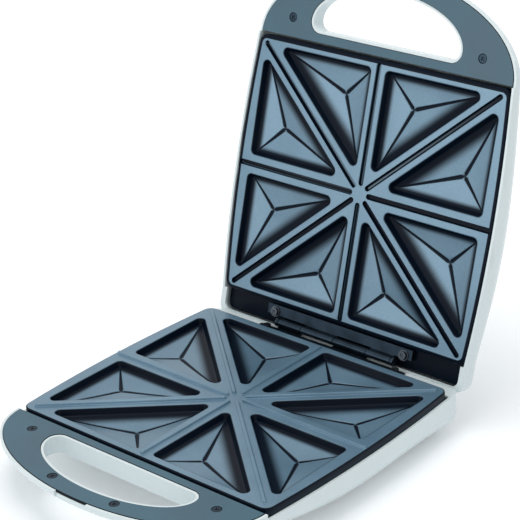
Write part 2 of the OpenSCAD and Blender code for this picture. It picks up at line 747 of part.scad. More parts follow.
module plate_casting(edge_w, sealing) {
    difference() {
        union() {
            difference() {
                stack([plate_outline(-edge_w), plate_outline(-0.3 * edge_w), plate_outline(0),
                       plate_outline(0)],
                      [0, -0.25 * edge_w, -0.85 * edge_w, -rim_depth]);
                difference() {
                    translate([0, 0, -rim_depth - 1]) linear_extrude(rim_depth + 1 - land_t)
                        polygon(plate_outline(-rim_t));
                    pocket_cups();
                    translate([0, 0, -rim_depth]) linear_extrude(rim_depth) rail_outline();
                }
            }
            for (p = strap_screws) rod(p.x, p.y, plate_post_r, clamp_local_z, 1 - land_t);
            for (p = front_tab_posts)
                translate([p.x - front_tab_half_w, p.y - front_tab_half_w,
                           front_tab_top - land_z - tab_t])
                    cube([2 * front_tab_half_w, 1 + front_tab_half_w - p.y - plate_d, tab_t]);
            children();
        }
        pocket_cuts();
        if (sealing == "grooves")
            translate([0, 0, -groove_d]) linear_extrude(groove_d + 1) rays(groove_w, 0);
        for (p = strap_screws) rod(p.x, p.y, screw_r + screw_fit, clamp_local_z - 1, clamp_local_z + 6);
        for (p = front_tab_posts) rod(p.x, p.y, screw_r + hole_clear, -far, 0);
    }
    if (sealing == "ridges")
        translate([0, 0, -1]) linear_extrude(1 + ridge_h) rays(ridge_w, 0.8);
}

module lower_plate() {
    color(coating) place_base() translate([0, 0, land_z]) difference() {
        plate_casting(lower_edge_w, "ridges") {
            for (p = leaf_posts) translate([p.x - 7, -1, base_tab_top - land_z - tab_t])
                cube([14, 12, tab_t]);
            rod(0, mid_y, thermostat_r + 1, -rim_depth, 1 - land_t);
            for (s = [-1, 1])
                rod(s * thermostat_ear_x, mid_y, plate_post_r, -rim_depth, 1 - land_t);
            rod(fuse.x, fuse.y, plate_post_r + 0.4, -rim_depth, 1 - land_t);
            rod(fuse_screw.x, fuse_screw.y, plate_post_r, fuse_clip_z, 1 - land_t);
        }
        for (p = leaf_posts) rod(p.x, p.y, screw_r + hole_clear, -far, far);
        for (s = [-1, 1]) rod(s * thermostat_ear_x, mid_y, screw_r + screw_fit,
                              -rim_depth - 1, 5.6 - rim_depth);
        rod(fuse_screw.x, fuse_screw.y, screw_r + screw_fit, fuse_clip_z - 1, fuse_clip_z + 6);
    }
}

module upper_plate() {
    color(coating) place_lid() flip() translate([0, 0, land_z]) difference() {
        plate_casting(upper_edge_w, "grooves") {
            translate([0, 0, upper_flange_top - land_z - tab_t]) linear_extrude(tab_t)
                polygon(round_rect(flange_gap - channel_half_w, channel_half_w - flange_gap, -8,
                                   channel_y - flange_gap - 0.1, 5.5));
            for (p = leaf_posts) rod(p.x, p.y, 5.5, upper_flange_top - land_z - 1,
                                     lid_tab_top - land_z);
        }
        for (p = leaf_posts) rod(p.x, p.y, screw_r + hole_clear, -far, far);
    }
}

// Screw that points up, its head's underside at z
module screw_up(x, y, z, len) {
    translate([0, 0, z]) flip() screw(x, y, 0, len);
}

module front_plate_screws() {
    for (p = front_tab_posts) screw(p.x, p.y, front_tab_top, 8, 1.6);
}

module lower_plate_screws() {
    color(steel) place_base() front_plate_screws();
}

module upper_plate_screws() {
    color(steel) place_lid() flip() front_plate_screws();
}

// ---- Heating --------------------------------------------------------------------

module element() {
    translate([0, element_arc_y, element_z - touch]) rotate([0, 0, 180])
        rotate_extrude(angle = 180) translate([element_half_w, 0]) circle(element_r);
    for (s = [-1, 1]) translate([s * element_half_w, element_arc_y, element_z - touch])
        rotate([-90, 0, 0]) {
            cylinder(r = element_r, h = element_end_y - element_arc_y);
            cylinder(r = cold_pin_r, h = pin_end_y - element_arc_y);
        }
}

module element_seals() {
    for (s = [-1, 1]) translate([s * element_half_w, element_end_y + touch, element_z - touch])
        rotate([-90, 0, 0]) difference() {
            cylinder(r = seal_r, h = seal_len);
            translate([0, 0, -1]) cylinder(r = cold_pin_r + touch, h = seal_len + 2);
        }
}

// Strap with a turned-down toe, held by one screw beside the element
module element_straps() {
    for (s = straps) translate([s.x, s.y, strap_z - strap_t - touch]) rotate([0, 0, s[2]])
        difference() {
            union() {
                translate([-element_r - 2.5, -strap_half_w, 0])
                    cube([element_r + strap_reach + 6.5, 2 * strap_half_w, strap_t]);
                translate([-element_r - 2.5, -strap_half_w, 0])
                    cube([strap_t, 2 * strap_half_w, element_r + strap_t]);
            }
            rod(strap_reach, 0, screw_r + 0.2, -1, strap_t + 1);
        }
}

module strap_screw_set() {
    for (p = strap_screws) screw_up(p.x, p.y, strap_z - strap_t - 2 * touch, 6);
}

// Shallow pan with a turned-up rim that throws heat back at the plate
module heat_pan(y0, y1, top, points) {
    difference() {
        translate([0, 0, top - reflector_t]) linear_extrude(reflector_t + pan_rim)
            polygon(round_rect(-reflector_half_w, reflector_half_w, y0, y1, pan_corner_r));
        translate([0, 0, top]) linear_extrude(pan_rim + 1) polygon(round_rect(
            reflector_t - reflector_half_w, reflector_half_w - reflector_t,
            y0 + reflector_t, y1 - reflector_t, pan_corner_r - reflector_t));
        for (p = points) rod(p.x, p.y, screw_r + hole_clear, -far, far);
    }
}

module lower_element() {
    color(dark_steel) place_base() element();
}

module upper_element() {
    color(dark_steel) place_lid() flip() element();
}

module lower_element_seals() {
    color("ivory") place_base() element_seals();
}

module upper_element_seals() {
    color("ivory") place_lid() flip() element_seals();
}

module lower_element_clamps() {
    color(steel) place_base() element_straps();
}

module upper_element_clamps() {
    color(steel) place_lid() flip() element_straps();
}

module lower_clamp_screws() {
    color(steel) place_base() {
        strap_screw_set();
        screw_up(fuse_screw.x, fuse_screw.y, land_z + fuse_clip_z - fuse_clip_t - 2 * touch, 6);
    }
}

module upper_clamp_screws() {
    color(steel) place_lid() flip() strap_screw_set();
}

module lower_reflector() {
    color("gainsboro") place_base()
        heat_pan(base_pan_front_y, pan_rear_y, pan_z, pan_screws);
}

module upper_reflector() {
    color("gainsboro") place_lid() flip()
        heat_pan(lid_pan_front_y, pan_rear_y, lid_pan_z, lid_pan_screws);
}

module lower_reflector_screws() {
    color(steel) place_base() for (p = pan_screws) screw(p.x, p.y, pan_z + touch, 5);
}

module upper_reflector_screws() {
    color(steel) place_lid() flip() for (p = lid_pan_screws) screw(p.x, p.y, lid_pan_z + touch, 4, 1);
}

module thermostat() {
    color(black) place_base() difference() {
        union() {
            rod(0, mid_y, thermostat_r, thermostat_top - thermostat_h, thermostat_top);
            bar(thermostat_ear_x + ear_half_w, mid_y - ear_half_w, mid_y + ear_half_w,
                thermostat_top - ear_t, thermostat_top);
            for (s = [-1, 1]) translate([-3.2, mid_y + s * 5 - 0.4, thermostat_top - thermostat_h - 3.5])
                cube([6.4, 0.8, 4]);
        }
        for (s = [-1, 1]) rod(s * thermostat_ear_x, mid_y, screw_r + 0.2, -far, far);
    }
}

module thermostat_screws() {
    color(steel) place_base() for (s = [-1, 1])
        screw_up(s * thermostat_ear_x, mid_y, thermostat_top - ear_t - touch, 5);
}

module thermal_fuse() {
    color("tan") place_base() translate([fuse.x, fuse.y, fuse_z]) rotate([90, 0, 0]) {
        cylinder(r = fuse_r, h = fuse_len, center = true);
        cylinder(r = fuse_wire_r, h = fuse_len + 14, center = true);
    }
}

module fuse_clip() {
    color(steel) place_base() difference() {
        translate([fuse.x - fuse_r - 1, fuse.y - 4, land_z + fuse_clip_z - fuse_clip_t - touch])
            cube([fuse_r + 13, 8, fuse_clip_t]);
        rod(fuse_screw.x, fuse_screw.y, screw_r + 0.2, -far, far);
    }
}

module terminal_block() {
    color("ivory") place_base() difference() {
        translate([block_x - block_len / 2, block_y - block_w / 2, block_pad_z + touch])
            cube([block_len, block_w, block_h]);
        for (p = block_screws) {
            rod(p.x, p.y, screw_r + 0.2, -far, far);
            rod(p.x, p.y, screw_head_r + 0.3, block_screw_z, far);
        }
        for (i = [-1:1])
            translate([block_x + i * wire_pitch, block_y - block_w, wire_z]) rotate([-90, 0, 0])
                cylinder(r = wire_hole_r, h = 2 * block_w);
    }
}

module terminal_block_screws() {
    color(steel) place_base() for (p = block_screws) screw(p.x, p.y, block_screw_z + touch, 6.5);
}

// ---- Leads, gland and feet ------------------------------------------------------

// Tube along a route, as rings that lean half way at each bend
module lead(path, r) {
    n = 8;
    last = len(path) - 1;
    points = [for (i = [0:last])
        let (a = path[max(i - 1, 0)], b = path[min(i + 1, last)], t = (b - a) / norm(b - a),
             side = abs(t.z) > 0.9 ? [1, 0, 0] : [0, 0, 1], u = cross(t, side) / norm(cross(t, side)),
             v = cross(t, u))
        for (k = [0:n - 1]) path[i] + r * (cos(360 * k / n) * u + sin(360 * k / n) * v)];
    sides = [for (i = [0:last - 1]) for (k = [0:n - 1]) let (j = (k + 1) % n)
        [i * n + k, (i + 1) * n + k, (i + 1) * n + j, i * n + j]];
    faces = concat([[for (k = [0:n - 1]) k]], sides, [[for (k = [n - 1:-1:0]) last * n + k]]);
    polyhedron(points, faces);
}

module base_leads() {
    block_back = block_y + block_w / 2;
    color("firebrick") place_base() for (s = [-1, 1])
        let (wire_x = block_x + s * wire_pitch, way_x = s > 0 ? wire_x + 11 : 0)
        lead([[s * element_half_w, pin_end_y + lead_gap, pin_z], [s * element_half_w, 3, pin_z],
              [s * (element_half_w - 3), 5.5, pin_z - 2], [way_x, 6.5, wire_z + 2.5],
              [wire_x + s * 2, 6.5, wire_z], [wire_x, block_back + 2.5, wire_z],
              [wire_x, block_back + lead_gap, wire_z]], lead_r);
}

module lid_leads() {
    color("firebrick") place_lid() flip() for (s = [-1, 1])
        lead([[s * element_half_w, pin_end_y + lead_gap, pin_z], [s * element_half_w, 3, pin_z],
              [s * (element_half_w - 3), 5, pin_z - 0.5], [s * 30, 6.5, pin_z - 0.5],
              [s * 8, 6.5, pin_z - 0.5], [s * 3, 6, pin_z + 1]], lead_r);
}

module cord_gland() {
    color(black) place_base() translate([gland_x, base_rear_y, gland_z]) rotate([-90, 0, 0])
        difference() {
            union() {
                translate([0, 0, -wall - 3]) cylinder(r = gland_r - touch, h = wall + 3.5);
                translate([0, 0, touch]) cylinder(r = gland_r + 1.8, h = 2.5);
                translate([0, 0, -wall - 3]) cylinder(r = gland_r + 0.8, h = 2);
            }
            translate([0, 0, -far / 2]) cylinder(r = cord_hole_r, h = far);
        }
}

module cord_clamp() {
    color(black) place_base() difference() {
        translate([gland_x - clamp_x - 5, -4, clamp_z + touch])
            cube([2 * clamp_x + 10, 8, clamp_t]);
        for (s = [-1, 1]) rod(gland_x + s * clamp_x, 0, screw_r + hole_clear, -far, far);
    }
}

module cord_clamp_screws() {
    color(steel) place_base() for (s = [-1, 1])
        screw(gland_x + s * clamp_x, 0, clamp_z + clamp_t + 2 * touch, 9, 1.5);
}

module rubber_feet() {
    color("#2a2d30") place_base() for (p = foot_points) {
        rod(p.x, p.y, foot_r, -stand_z, foot_seat_z - touch);
        rod(p.x, p.y, plug_r, foot_seat_z - 1, foot_seat_z + plug_len);
    }
}

// ---- Hinge ----------------------------------------------------------------------

// One knuckle and the tongue of leaf that carries it; the bore is part of the sheet
module knuckle(x0, len, tongue_z, bore_r) {
    difference() {
        union() {
            translate([x0, hinge_y, hinge_z]) rotate([0, 90, 0]) cylinder(r = barrel_r, h = len);
            translate([x0, hinge_y - barrel_r - 1, tongue_z]) cube([len, barrel_r + 1, leaf_t]);
        }
        translate([x0 - 1, hinge_y, hinge_z]) rotate([0, 90, 0]) cylinder(r = bore_r, h = len + 2);
    }
}

module leaf(z, bore_r, places) {
    difference() {
        bar(leaf_half_w, 1.2, hinge_y - barrel_r - 0.9, z, z + leaf_t);
        for (p = leaf_posts) rod(p.x, p.y, screw_r + hole_clear, -far, far);
    }
    for (p = places) knuckle(p[0], p[1], z, bore_r);
}

module hinge_base_leaf() {
    color(steel) place_base() leaf(base_leaf_top - leaf_t, pin_r + 0.01,
        [[-half_barrel, knuckle_outer], [inner_x0, knuckle_inner]]);
}

module hinge_lid_leaf() {
    color(steel) place_lid() leaf(lid_leaf_under, pin_r + pin_fit,
        [[-inner_x0 - knuckle_inner, knuckle_inner], [outer_x0, knuckle_outer]]);
}

module hinge_pin() {
    color(dark_steel) place_base() translate([0, hinge_y, hinge_z]) rotate([0, 90, 0]) {
        cylinder(r = pin_r, h = 2 * (half_barrel + 1), center = true);
        for (s = [-1, 1]) translate([0, 0, s * (half_barrel + knuckle_gap + cap_t / 2)])
            cylinder(r = cap_r, h = cap_t, center = true);
    }
}

module hinge_base_screws() {
    color(steel) place_base() for (p = leaf_posts) screw(p.x, p.y, base_leaf_top + touch, 14);
}

module hinge_lid_washers() {
    color(steel) place_lid() flip() for (p = leaf_posts) difference() {
        rod(p.x, p.y, screw_head_r + 1.2, touch - lid_leaf_under, touch + washer_t - lid_leaf_under);
        rod(p.x, p.y, screw_r + 0.2, -far, far);
    }
}

module hinge_lid_screws() {
    color(steel) place_lid() flip() for (p = leaf_posts)
        screw(p.x, p.y, washer_t + 2 * touch - lid_leaf_under, 15);
}

// ---- Lamps and latch ------------------------------------------------------------

module lens(x) {
    place_lid() flip() {
        rod(x, lens_y, lens_r, lens_inner_z - wall - 0.5, lens_flange_z + lens_flange_t);
        rod(x, lens_y, lens_r + lens_rim, lens_flange_z, lens_flange_z + lens_flange_t);
    }
}

module power_lens() {
    color("red") lens(-lens_x);
}

module ready_lens() {
    color("green") lens(lens_x);
}

module pilot_lamps() {
    color("orange") place_lid() flip() for (s = [-1, 1])
        translate([s * lens_x - lamp_len / 2, lens_y, lamp_plate_z - lamp_plate_t - lamp_r - touch])
            rotate([0, 90, 0]) cylinder(r = lamp_r, h = lamp_len);
}

module lamp_holder() {
    color("ivory") place_lid() flip() difference() {
        bar(lamp_post_x + 5, lens_y - 5, lens_y + 5, lamp_plate_z - lamp_plate_t,
            lamp_plate_z);
        for (s = [-1, 1]) rod(s * lamp_post_x, lens_y, screw_r + hole_clear, -far, far);
    }
}

module lamp_holder_screws() {
    color(steel) place_lid() flip() for (s = [-1, 1])
        screw(s * lamp_post_x, lens_y, lamp_plate_z + touch, 4.5, 1);
}

// Latch drawn as it hangs when it holds the two handles together
module latch_body() {
    hook_under = latch_hook_top - latch_hook_t;
    difference() {
        union() {
            translate([-latch_w / 2, latch_pin_y, latch_pin_z]) rotate([0, 90, 0])
                cylinder(r = latch_knuckle_r, h = latch_w);
            bar(latch_w / 2, latch_arm_y, latch_arm_y + latch_t, hook_under, latch_pin_z);
            bar(latch_w / 2, latch_arm_y, latch_hook_y, hook_under, latch_hook_top);
        }
        translate([-latch_w, latch_pin_y, latch_pin_z]) rotate([0, 90, 0])
            cylinder(r = latch_pin_r + 0.08, h = 2 * latch_w);
    }
}

module latch() {
    color(slate) place_lid() translate([0, latch_pin_y, latch_pin_z]) rotate([-latch_swing, 0, 0])
        translate([0, -latch_pin_y, -latch_pin_z]) latch_body();
}

module latch_pin() {
    color(steel) place_lid() translate([0, latch_pin_y, latch_pin_z]) rotate([0, 90, 0])
        cylinder(r = latch_pin_r, h = 2 * (notch_half_w + wall), center = true);
}

base_shell();
base_trim();
base_trim_screws();
lower_plate();
lower_plate_screws();
lower_element();
lower_element_seals();
lower_element_clamps();
lower_clamp_screws();
lower_reflector();
lower_reflector_screws();
thermostat();
thermostat_screws();
thermal_fuse();
fuse_clip();
terminal_block();
terminal_block_screws();
base_leads();
cord_gland();
cord_clamp();
cord_clamp_screws();
rubber_feet();
hinge_base_leaf();
hinge_base_screws();
hinge_pin();
lid_shell();
lid_trim();
lid_trim_screws();
upper_plate();
upper_plate_screws();
upper_element();
upper_element_seals();
upper_element_clamps();
upper_clamp_screws();
upper_reflector();
upper_reflector_screws();
lamp_holder();
lamp_holder_screws();
pilot_lamps();
power_lens();
ready_lens();
lid_leads();
hinge_lid_leaf();
hinge_lid_screws();
hinge_lid_washers();
latch();
latch_pin();
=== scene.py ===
"""Sandwich toaster, standing open on a pale studio floor.

Each half is a white moulded casing with a looped handle, a slate trim over the handle and
a cast cooking plate with eight triangular pockets. Pieces are drawn in the shut frame, in
millimetres: X across, the hinge at +Y, Z up, z = 0 where the two halves meet and y = 0 at
the plates' back edge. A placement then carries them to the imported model's frame, in metres.
"""

from __future__ import annotations

import json
import logging
import math
from dataclasses import dataclass, field
from enum import Enum
from typing import Any, Iterable, Sequence

import bmesh
import bpy
from bmesh.types import BMesh, BMVert
from mathutils import Matrix, Vector

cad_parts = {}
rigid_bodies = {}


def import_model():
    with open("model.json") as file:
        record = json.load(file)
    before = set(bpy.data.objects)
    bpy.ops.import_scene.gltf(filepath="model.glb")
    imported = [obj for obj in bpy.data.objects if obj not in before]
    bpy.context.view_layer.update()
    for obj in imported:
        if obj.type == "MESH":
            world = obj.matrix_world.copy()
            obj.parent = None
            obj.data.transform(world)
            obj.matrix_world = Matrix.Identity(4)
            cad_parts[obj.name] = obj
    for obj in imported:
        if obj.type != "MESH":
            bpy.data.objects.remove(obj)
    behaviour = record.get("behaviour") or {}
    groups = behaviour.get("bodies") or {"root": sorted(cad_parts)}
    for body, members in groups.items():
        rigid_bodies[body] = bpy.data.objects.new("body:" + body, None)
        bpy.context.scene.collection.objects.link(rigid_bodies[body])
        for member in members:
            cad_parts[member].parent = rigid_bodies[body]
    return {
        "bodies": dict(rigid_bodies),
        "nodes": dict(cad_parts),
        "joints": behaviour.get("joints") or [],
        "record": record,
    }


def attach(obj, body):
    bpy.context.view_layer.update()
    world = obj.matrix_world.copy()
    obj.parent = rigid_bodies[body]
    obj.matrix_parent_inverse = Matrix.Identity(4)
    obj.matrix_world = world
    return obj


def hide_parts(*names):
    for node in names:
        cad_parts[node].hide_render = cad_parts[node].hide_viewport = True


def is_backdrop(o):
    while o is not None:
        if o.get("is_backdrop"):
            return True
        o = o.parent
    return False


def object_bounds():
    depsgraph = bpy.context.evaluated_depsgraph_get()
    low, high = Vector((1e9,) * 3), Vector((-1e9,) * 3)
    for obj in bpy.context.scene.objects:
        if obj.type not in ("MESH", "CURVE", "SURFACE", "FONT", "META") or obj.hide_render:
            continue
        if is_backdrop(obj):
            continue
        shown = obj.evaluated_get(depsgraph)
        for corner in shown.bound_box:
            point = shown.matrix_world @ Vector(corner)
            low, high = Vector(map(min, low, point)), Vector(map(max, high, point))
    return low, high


LOG = logging.getLogger("toaster")
MM = 0.001
WHITE = "#ffffff"
# Vertex attribute of painted shade: how dark a toned finish is painted, from 0 to 1
SHADE = "shade"
# Further than any piece reaches, in millimetres, for cuts that pass right through
FAR = 400.0
# Nearer the centre line than this, in millimetres, a point lies on it
ON_CENTRE = 1e-6
# Corners of a round outline, and chords of a rounded corner
DISC_CORNERS = 48
SMALL_ARC_STEPS = 6
# Corners of a CAD mesh nearer than this, in millimetres, are one corner
SAME_SPOT = 0.002
# Facets of a CAD mesh that turn by less than this, in degrees, are one face
SAME_FACE = 0.6
# A corner this near an opening's outline, in millimetres, lies on the opening's wall
WALL_REACH = 0.02
# Least cosine between the wall's direction and a face or corner that belongs to it
WALL_LIKENESS = 0.85


# ---- Finishes -------------------------------------------------------------------------


def linear(code: str) -> tuple[float, float, float, float]:
    """Turns an sRGB hex colour to linear RGBA.

    Args:
        code: Six hex digits with or without a leading hash.

    Returns:
        Linear red, green, blue and an alpha of 1.
    """
    digits = code.lstrip("#")
    channels = [int(digits[i:i + 2], 16) / 255 for i in (0, 2, 4)]
    curved = [c / 12.92 if c <= 0.04045 else ((c + 0.055) / 1.055) ** 2.4 for c in channels]
    return curved[0], curved[1], curved[2], 1.0


def add_node(
    tree: bpy.types.NodeTree,
    kind: str,
    values: dict[Any, Any] | None = None,
    links: dict[Any, bpy.types.NodeSocket] | None = None,
    **settings: Any,
) -> bpy.types.Node:
    """Adds one node to a tree.

    Args:
        tree: Tree that takes the node.
        kind: The node's type name.
        values: Input sockets and their constant values.
        links: Input sockets and the outputs that feed them.
        settings: The node's own properties.

    Returns:
        The new node.
    """
    node = tree.nodes.new(kind)
    for name, value in settings.items():
        setattr(node, name, value)
    for socket, value in (values or {}).items():
        node.inputs[socket].default_value = value
    for socket, source in (links or {}).items():
        tree.links.new(source, node.inputs[socket])
    return node


class Grain(Enum):
    """How far a fine pattern is drawn out along each axis."""

    EVEN = (1.0, 1.0, 1.0)
    ALONG_X = (0.04, 1.0, 1.0)
    ALONG_Y = (1.0, 0.04, 1.0)


@dataclass(frozen=True)
class Finish:
    """A surface with a mottled colour and a fine relief, both at their real size."""

    name: str
    light: str
    dark: str
    roughness: float
    metallic: float = 0.0
    ior: float = 1.5
    coat: float = 0.0
    mottle_mm: float = 35.0
    relief_mm: float = 1.0
    relief_depth_mm: float = 0.01
    gloss_swing: float = 0.04
    grain: Grain = Grain.EVEN
    mottle_detail: float = 3.0
    relief_detail: float = 2.0
    # Share of the relief in the pattern that blends the two colours
    relief_share: float = 0.35
    # Where the blended pattern has turned to the dark colour and to the light one
    colour_band: tuple[float, float] = (0.38, 0.62)
    # Where the mottle gives the least and the most roughness
    gloss_band: tuple[float, float] = (0.35, 0.65)
    coat_roughness: float = 0.15

    def build(self) -> bpy.types.Material:
        """Makes the material.

        Returns:
            A material that reads Object coordinates, and the shade attribute if it's toned.
        """
        material = bpy.data.materials.new(self.name)
        material.use_nodes = True
        tree = material.node_tree
        tree.nodes.clear()
        where = add_node(tree, "ShaderNodeTexCoord").outputs["Object"]
        mottle = add_node(
            tree, "ShaderNodeTexNoise",
            {"Scale": 1 / (self.mottle_mm * MM), "Detail": self.mottle_detail}, {"Vector": where},
        ).outputs["Fac"]
        drawn = add_node(
            tree, "ShaderNodeMapping", {"Scale": self.grain.value}, {"Vector": where}
        ).outputs["Vector"]
        relief = add_node(
            tree, "ShaderNodeTexNoise",
            {"Scale": 1 / (self.relief_mm * MM), "Detail": self.relief_detail}, {"Vector": drawn},
        ).outputs["Fac"]
        colour = self.colour(tree, mottle, relief)
        least, most = self.gloss_band
        gloss = add_node(
            tree, "ShaderNodeMapRange",
            {"From Min": least, "From Max": most, "To Min": self.roughness - self.gloss_swing,
             "To Max": self.roughness + self.gloss_swing},
            {"Value": mottle},
        ).outputs["Result"]
        bump = add_node(
            tree, "ShaderNodeBump", {"Strength": 1.0, "Distance": self.relief_depth_mm * MM},
            {"Height": relief},
        ).outputs["Normal"]
        values = {
            "Metallic": self.metallic, "Coat Weight": self.coat,
            "Coat Roughness": self.coat_roughness,
        }
        if self.metallic < 1.0:
            values["IOR"] = self.ior
        shader = add_node(
            tree, "ShaderNodeBsdfPrincipled", values,
            {"Base Color": colour, "Roughness": gloss, "Normal": bump},
        )
        self.extra(tree, shader)
        add_node(tree, "ShaderNodeOutputMaterial", links={"Surface": shader.outputs["BSDF"]})
        return material

    def colour(
        self,
        tree: bpy.types.NodeTree,
        mottle: bpy.types.NodeSocket,
        relief: bpy.types.NodeSocket,
    ) -> bpy.types.NodeSocket:
        """Blends the two colours by the mottle and, more faintly, by the relief.

        Args:
            tree: Tree of the material.
            mottle: Soft pattern from 0 to 1.
            relief: Fine pattern from 0 to 1.

        Returns:
            The blended colour.
        """
        fine = add_node(
            tree, "ShaderNodeMath", {1: self.relief_share}, {0: relief}, operation="MULTIPLY"
        ).outputs["Value"]
        tone = add_node(
            tree, "ShaderNodeMath", {1: 1 - self.relief_share}, {0: mottle, 2: fine},
            operation="MULTIPLY_ADD",
        ).outputs["Value"]
        ramp = add_node(tree, "ShaderNodeValToRGB", links={"Fac": tone})
        low, high = ramp.color_ramp.elements
        low.position, high.position = self.colour_band
        low.color, high.color = linear(self.dark), linear(self.light)
        return ramp.outputs["Color"]

    def extra(self, tree: bpy.types.NodeTree, shader: bpy.types.Node) -> None:
        """Lets a special finish change the shader, which a plain one leaves alone."""


@dataclass(frozen=True)
class Toned(Finish):
    """A finish with painted shade: darker and duller where the mesh's shade attribute says so."""

    # Colour of the painted shade, and the share of reflection left where shade is painted in full
    painted_shade_colour: str = "#06101d"
    painted_shade_shine: float = 0.12

    def shade(self, tree: bpy.types.NodeTree) -> bpy.types.NodeSocket:
        """Reads how much shade is painted on the surface, which is 0 on a piece without the
        attribute.
        """
        return add_node(tree, "ShaderNodeAttribute", attribute_name=SHADE).outputs["Fac"]

    def extra(self, tree: bpy.types.NodeTree, shader: bpy.types.Node) -> None:
        """Paints shade into the creases: less reflection where the shade attribute says so.

        Args:
            tree: Tree of the material.
            shader: The principled shader.
        """
        for socket in ("Specular IOR Level", "Metallic", "Coat Weight"):
            plain = shader.inputs[socket].default_value
            left = add_node(
                tree, "ShaderNodeMapRange", {"To Min": plain, "To Max": plain * self.painted_shade_shine},
                {"Value": self.shade(tree)},
            ).outputs["Result"]
            tree.links.new(left, shader.inputs[socket])

    def colour(
        self,
        tree: bpy.types.NodeTree,
        mottle: bpy.types.NodeSocket,
        relief: bpy.types.NodeSocket,
    ) -> bpy.types.NodeSocket:
        """Blends in the colour of the painted shade.

        Args:
            tree: Tree of the material.
            mottle: Soft pattern from 0 to 1.
            relief: Fine pattern from 0 to 1.

        Returns:
            The blended colour.
        """
        plain = super().colour(tree, mottle, relief)
        mix = add_node(tree, "ShaderNodeMix", data_type="RGBA")
        factor, first, second = (
            next(s for s in mix.inputs if s.identifier == i)
            for i in ("Factor_Float", "A_Color", "B_Color")
        )
        second.default_value = linear(self.painted_shade_colour)
        tree.links.new(self.shade(tree), factor)
        tree.links.new(plain, first)
        return next(s for s in mix.outputs if s.identifier == "Result_Color")


@dataclass(frozen=True)
class Lens(Finish):
    """Clear tinted plastic that lets most light through."""

    clearness: float = 0.7

    def extra(self, tree: bpy.types.NodeTree, shader: bpy.types.Node) -> None:
        """Makes the shader clear."""
        shader.inputs["Transmission Weight"].default_value = self.clearness


FINISHES: dict[str, Finish] = {
    # Polypropylene from a polished mould: bright, soft reflections and a faint ripple. Its
    # roughness keeps clear of 0.27, because renders showed patches where it varied about that
    # Shade is painted near black in the hinge recess
    "white_casing": Toned(
        "polypropylene_white", "#dce8ea", "#d9e5e8", 0.24, ior=1.49, mottle_mm=70,
        relief_mm=4.0, relief_depth_mm=0.012, gloss_swing=0.03, painted_shade_colour="#14181b",
    ),
    # ABS from a spark-eroded mould: an even, dull grain of about half a millimetre
    # Shade is painted on its edges and screw recesses, where it drops into its seat
    "slate_trim": Toned(
        "abs_slate", "#3a5f70", "#315464", 0.46, ior=1.54, mottle_mm=50, relief_mm=0.55,
        relief_depth_mm=0.03, painted_shade_colour="#10171c",
    ),
    # Sprayed PTFE over die-cast aluminium: a satin skin with a faint orange peel
    # Shade is painted near black on its pocket walls, valleys, grooves, edges and flange
    "nonstick_coating": Toned(
        "ptfe_slate", "#6b8a9e", "#5d7c90", 0.36, metallic=0.35, coat=0.25,
        mottle_mm=45, relief_mm=1.3, relief_depth_mm=0.012,
    ),
    # Black zinc plate: dark and half bright, with rolling lines along the hinge
    "plated_steel": Finish(
        "zinc_plate", "#5a6168", "#464d54", 0.34, metallic=1.0, mottle_mm=12, relief_mm=0.5,
        relief_depth_mm=0.006, grain=Grain.ALONG_X,
    ),
    # Black-oxide steel: dark and half dull
    "dark_steel": Finish(
        "oxide_steel", "#2d3b47", "#212d37", 0.32, metallic=0.9, mottle_mm=10,
        relief_mm=0.6, relief_depth_mm=0.006,
    ),
    # Moulded rubber: dull, slightly dusty
    "rubber_black": Finish(
        "rubber_black", "#2c2f32", "#222528", 0.75, ior=1.52, mottle_mm=8, relief_mm=0.5,
        relief_depth_mm=0.02,
    ),
    # Nylon: dull black with a fine grain
    "black_plastic": Finish(
        "nylon_black", "#20262b", "#181d21", 0.5, ior=1.53, mottle_mm=15, relief_mm=0.5,
        relief_depth_mm=0.02,
    ),
    # Steatite: pressed and fired, chalky cream
    "ceramic": Finish(
        "steatite", "#ece5d4", "#ded5c0", 0.6, ior=1.58, mottle_mm=6, relief_mm=0.4,
        relief_depth_mm=0.02,
    ),
    # Aluminised sheet: bright spangle drawn out by the rolls
    "reflector_alu": Finish(
        "aluminised_sheet", "#d3d6d9", "#bfc4c8", 0.33, metallic=1.0, mottle_mm=18,
        relief_mm=0.8, relief_depth_mm=0.008, grain=Grain.ALONG_Y,
    ),
    # Braided silicone sleeve: dull brick red
    "lead_sleeve": Finish(
        "silicone_red", "#943d30", "#7f3228", 0.55, ior=1.41, mottle_mm=5, relief_mm=0.6,
        relief_depth_mm=0.03,
    ),
    # Tinted acrylic: glassy
    "lens_red": Lens(
        "acrylic_red", "#c8402c", "#b83524", 0.08, ior=1.49, mottle_mm=10, relief_mm=2,
        relief_depth_mm=0.002, gloss_swing=0.01,
    ),
    "lens_green": Lens(
        "acrylic_green", "#3f9c58", "#348a4b", 0.08, ior=1.49, mottle_mm=10, relief_mm=2,
        relief_depth_mm=0.002, gloss_swing=0.01,
    ),
}


# ---- Shared sizes and placement -------------------------------------------------------


class Half(Enum):
    """The two halves, by the name of the body each one rides on."""

    BASE = "base"
    LID = "lid"


def arc(cx: float, cy: float, r: float, start: float, end: float, steps: int) -> list[Vector]:
    """Points along a circular arc between two angles in degrees, both ends included."""
    angles = [math.radians(start + (end - start) * i / steps) for i in range(steps + 1)]
    return [Vector((cx + r * math.cos(a), cy + r * math.sin(a))) for a in angles]


def disc(x: float, y: float, r: float) -> list[Vector]:
    """Round outline about a point."""
    return arc(x, y, r, 0, 360 - 360 / DISC_CORNERS, DISC_CORNERS - 1)


def rectangle(x: float, half_w: float, y0: float = -FAR, y1: float = FAR) -> list[Vector]:
    """Outline of a rectangle about the line at x, endless at an end that isn't given."""
    corners = (x - half_w, y0), (x + half_w, y0), (x + half_w, y1), (x - half_w, y1)
    return [Vector(corner) for corner in corners]


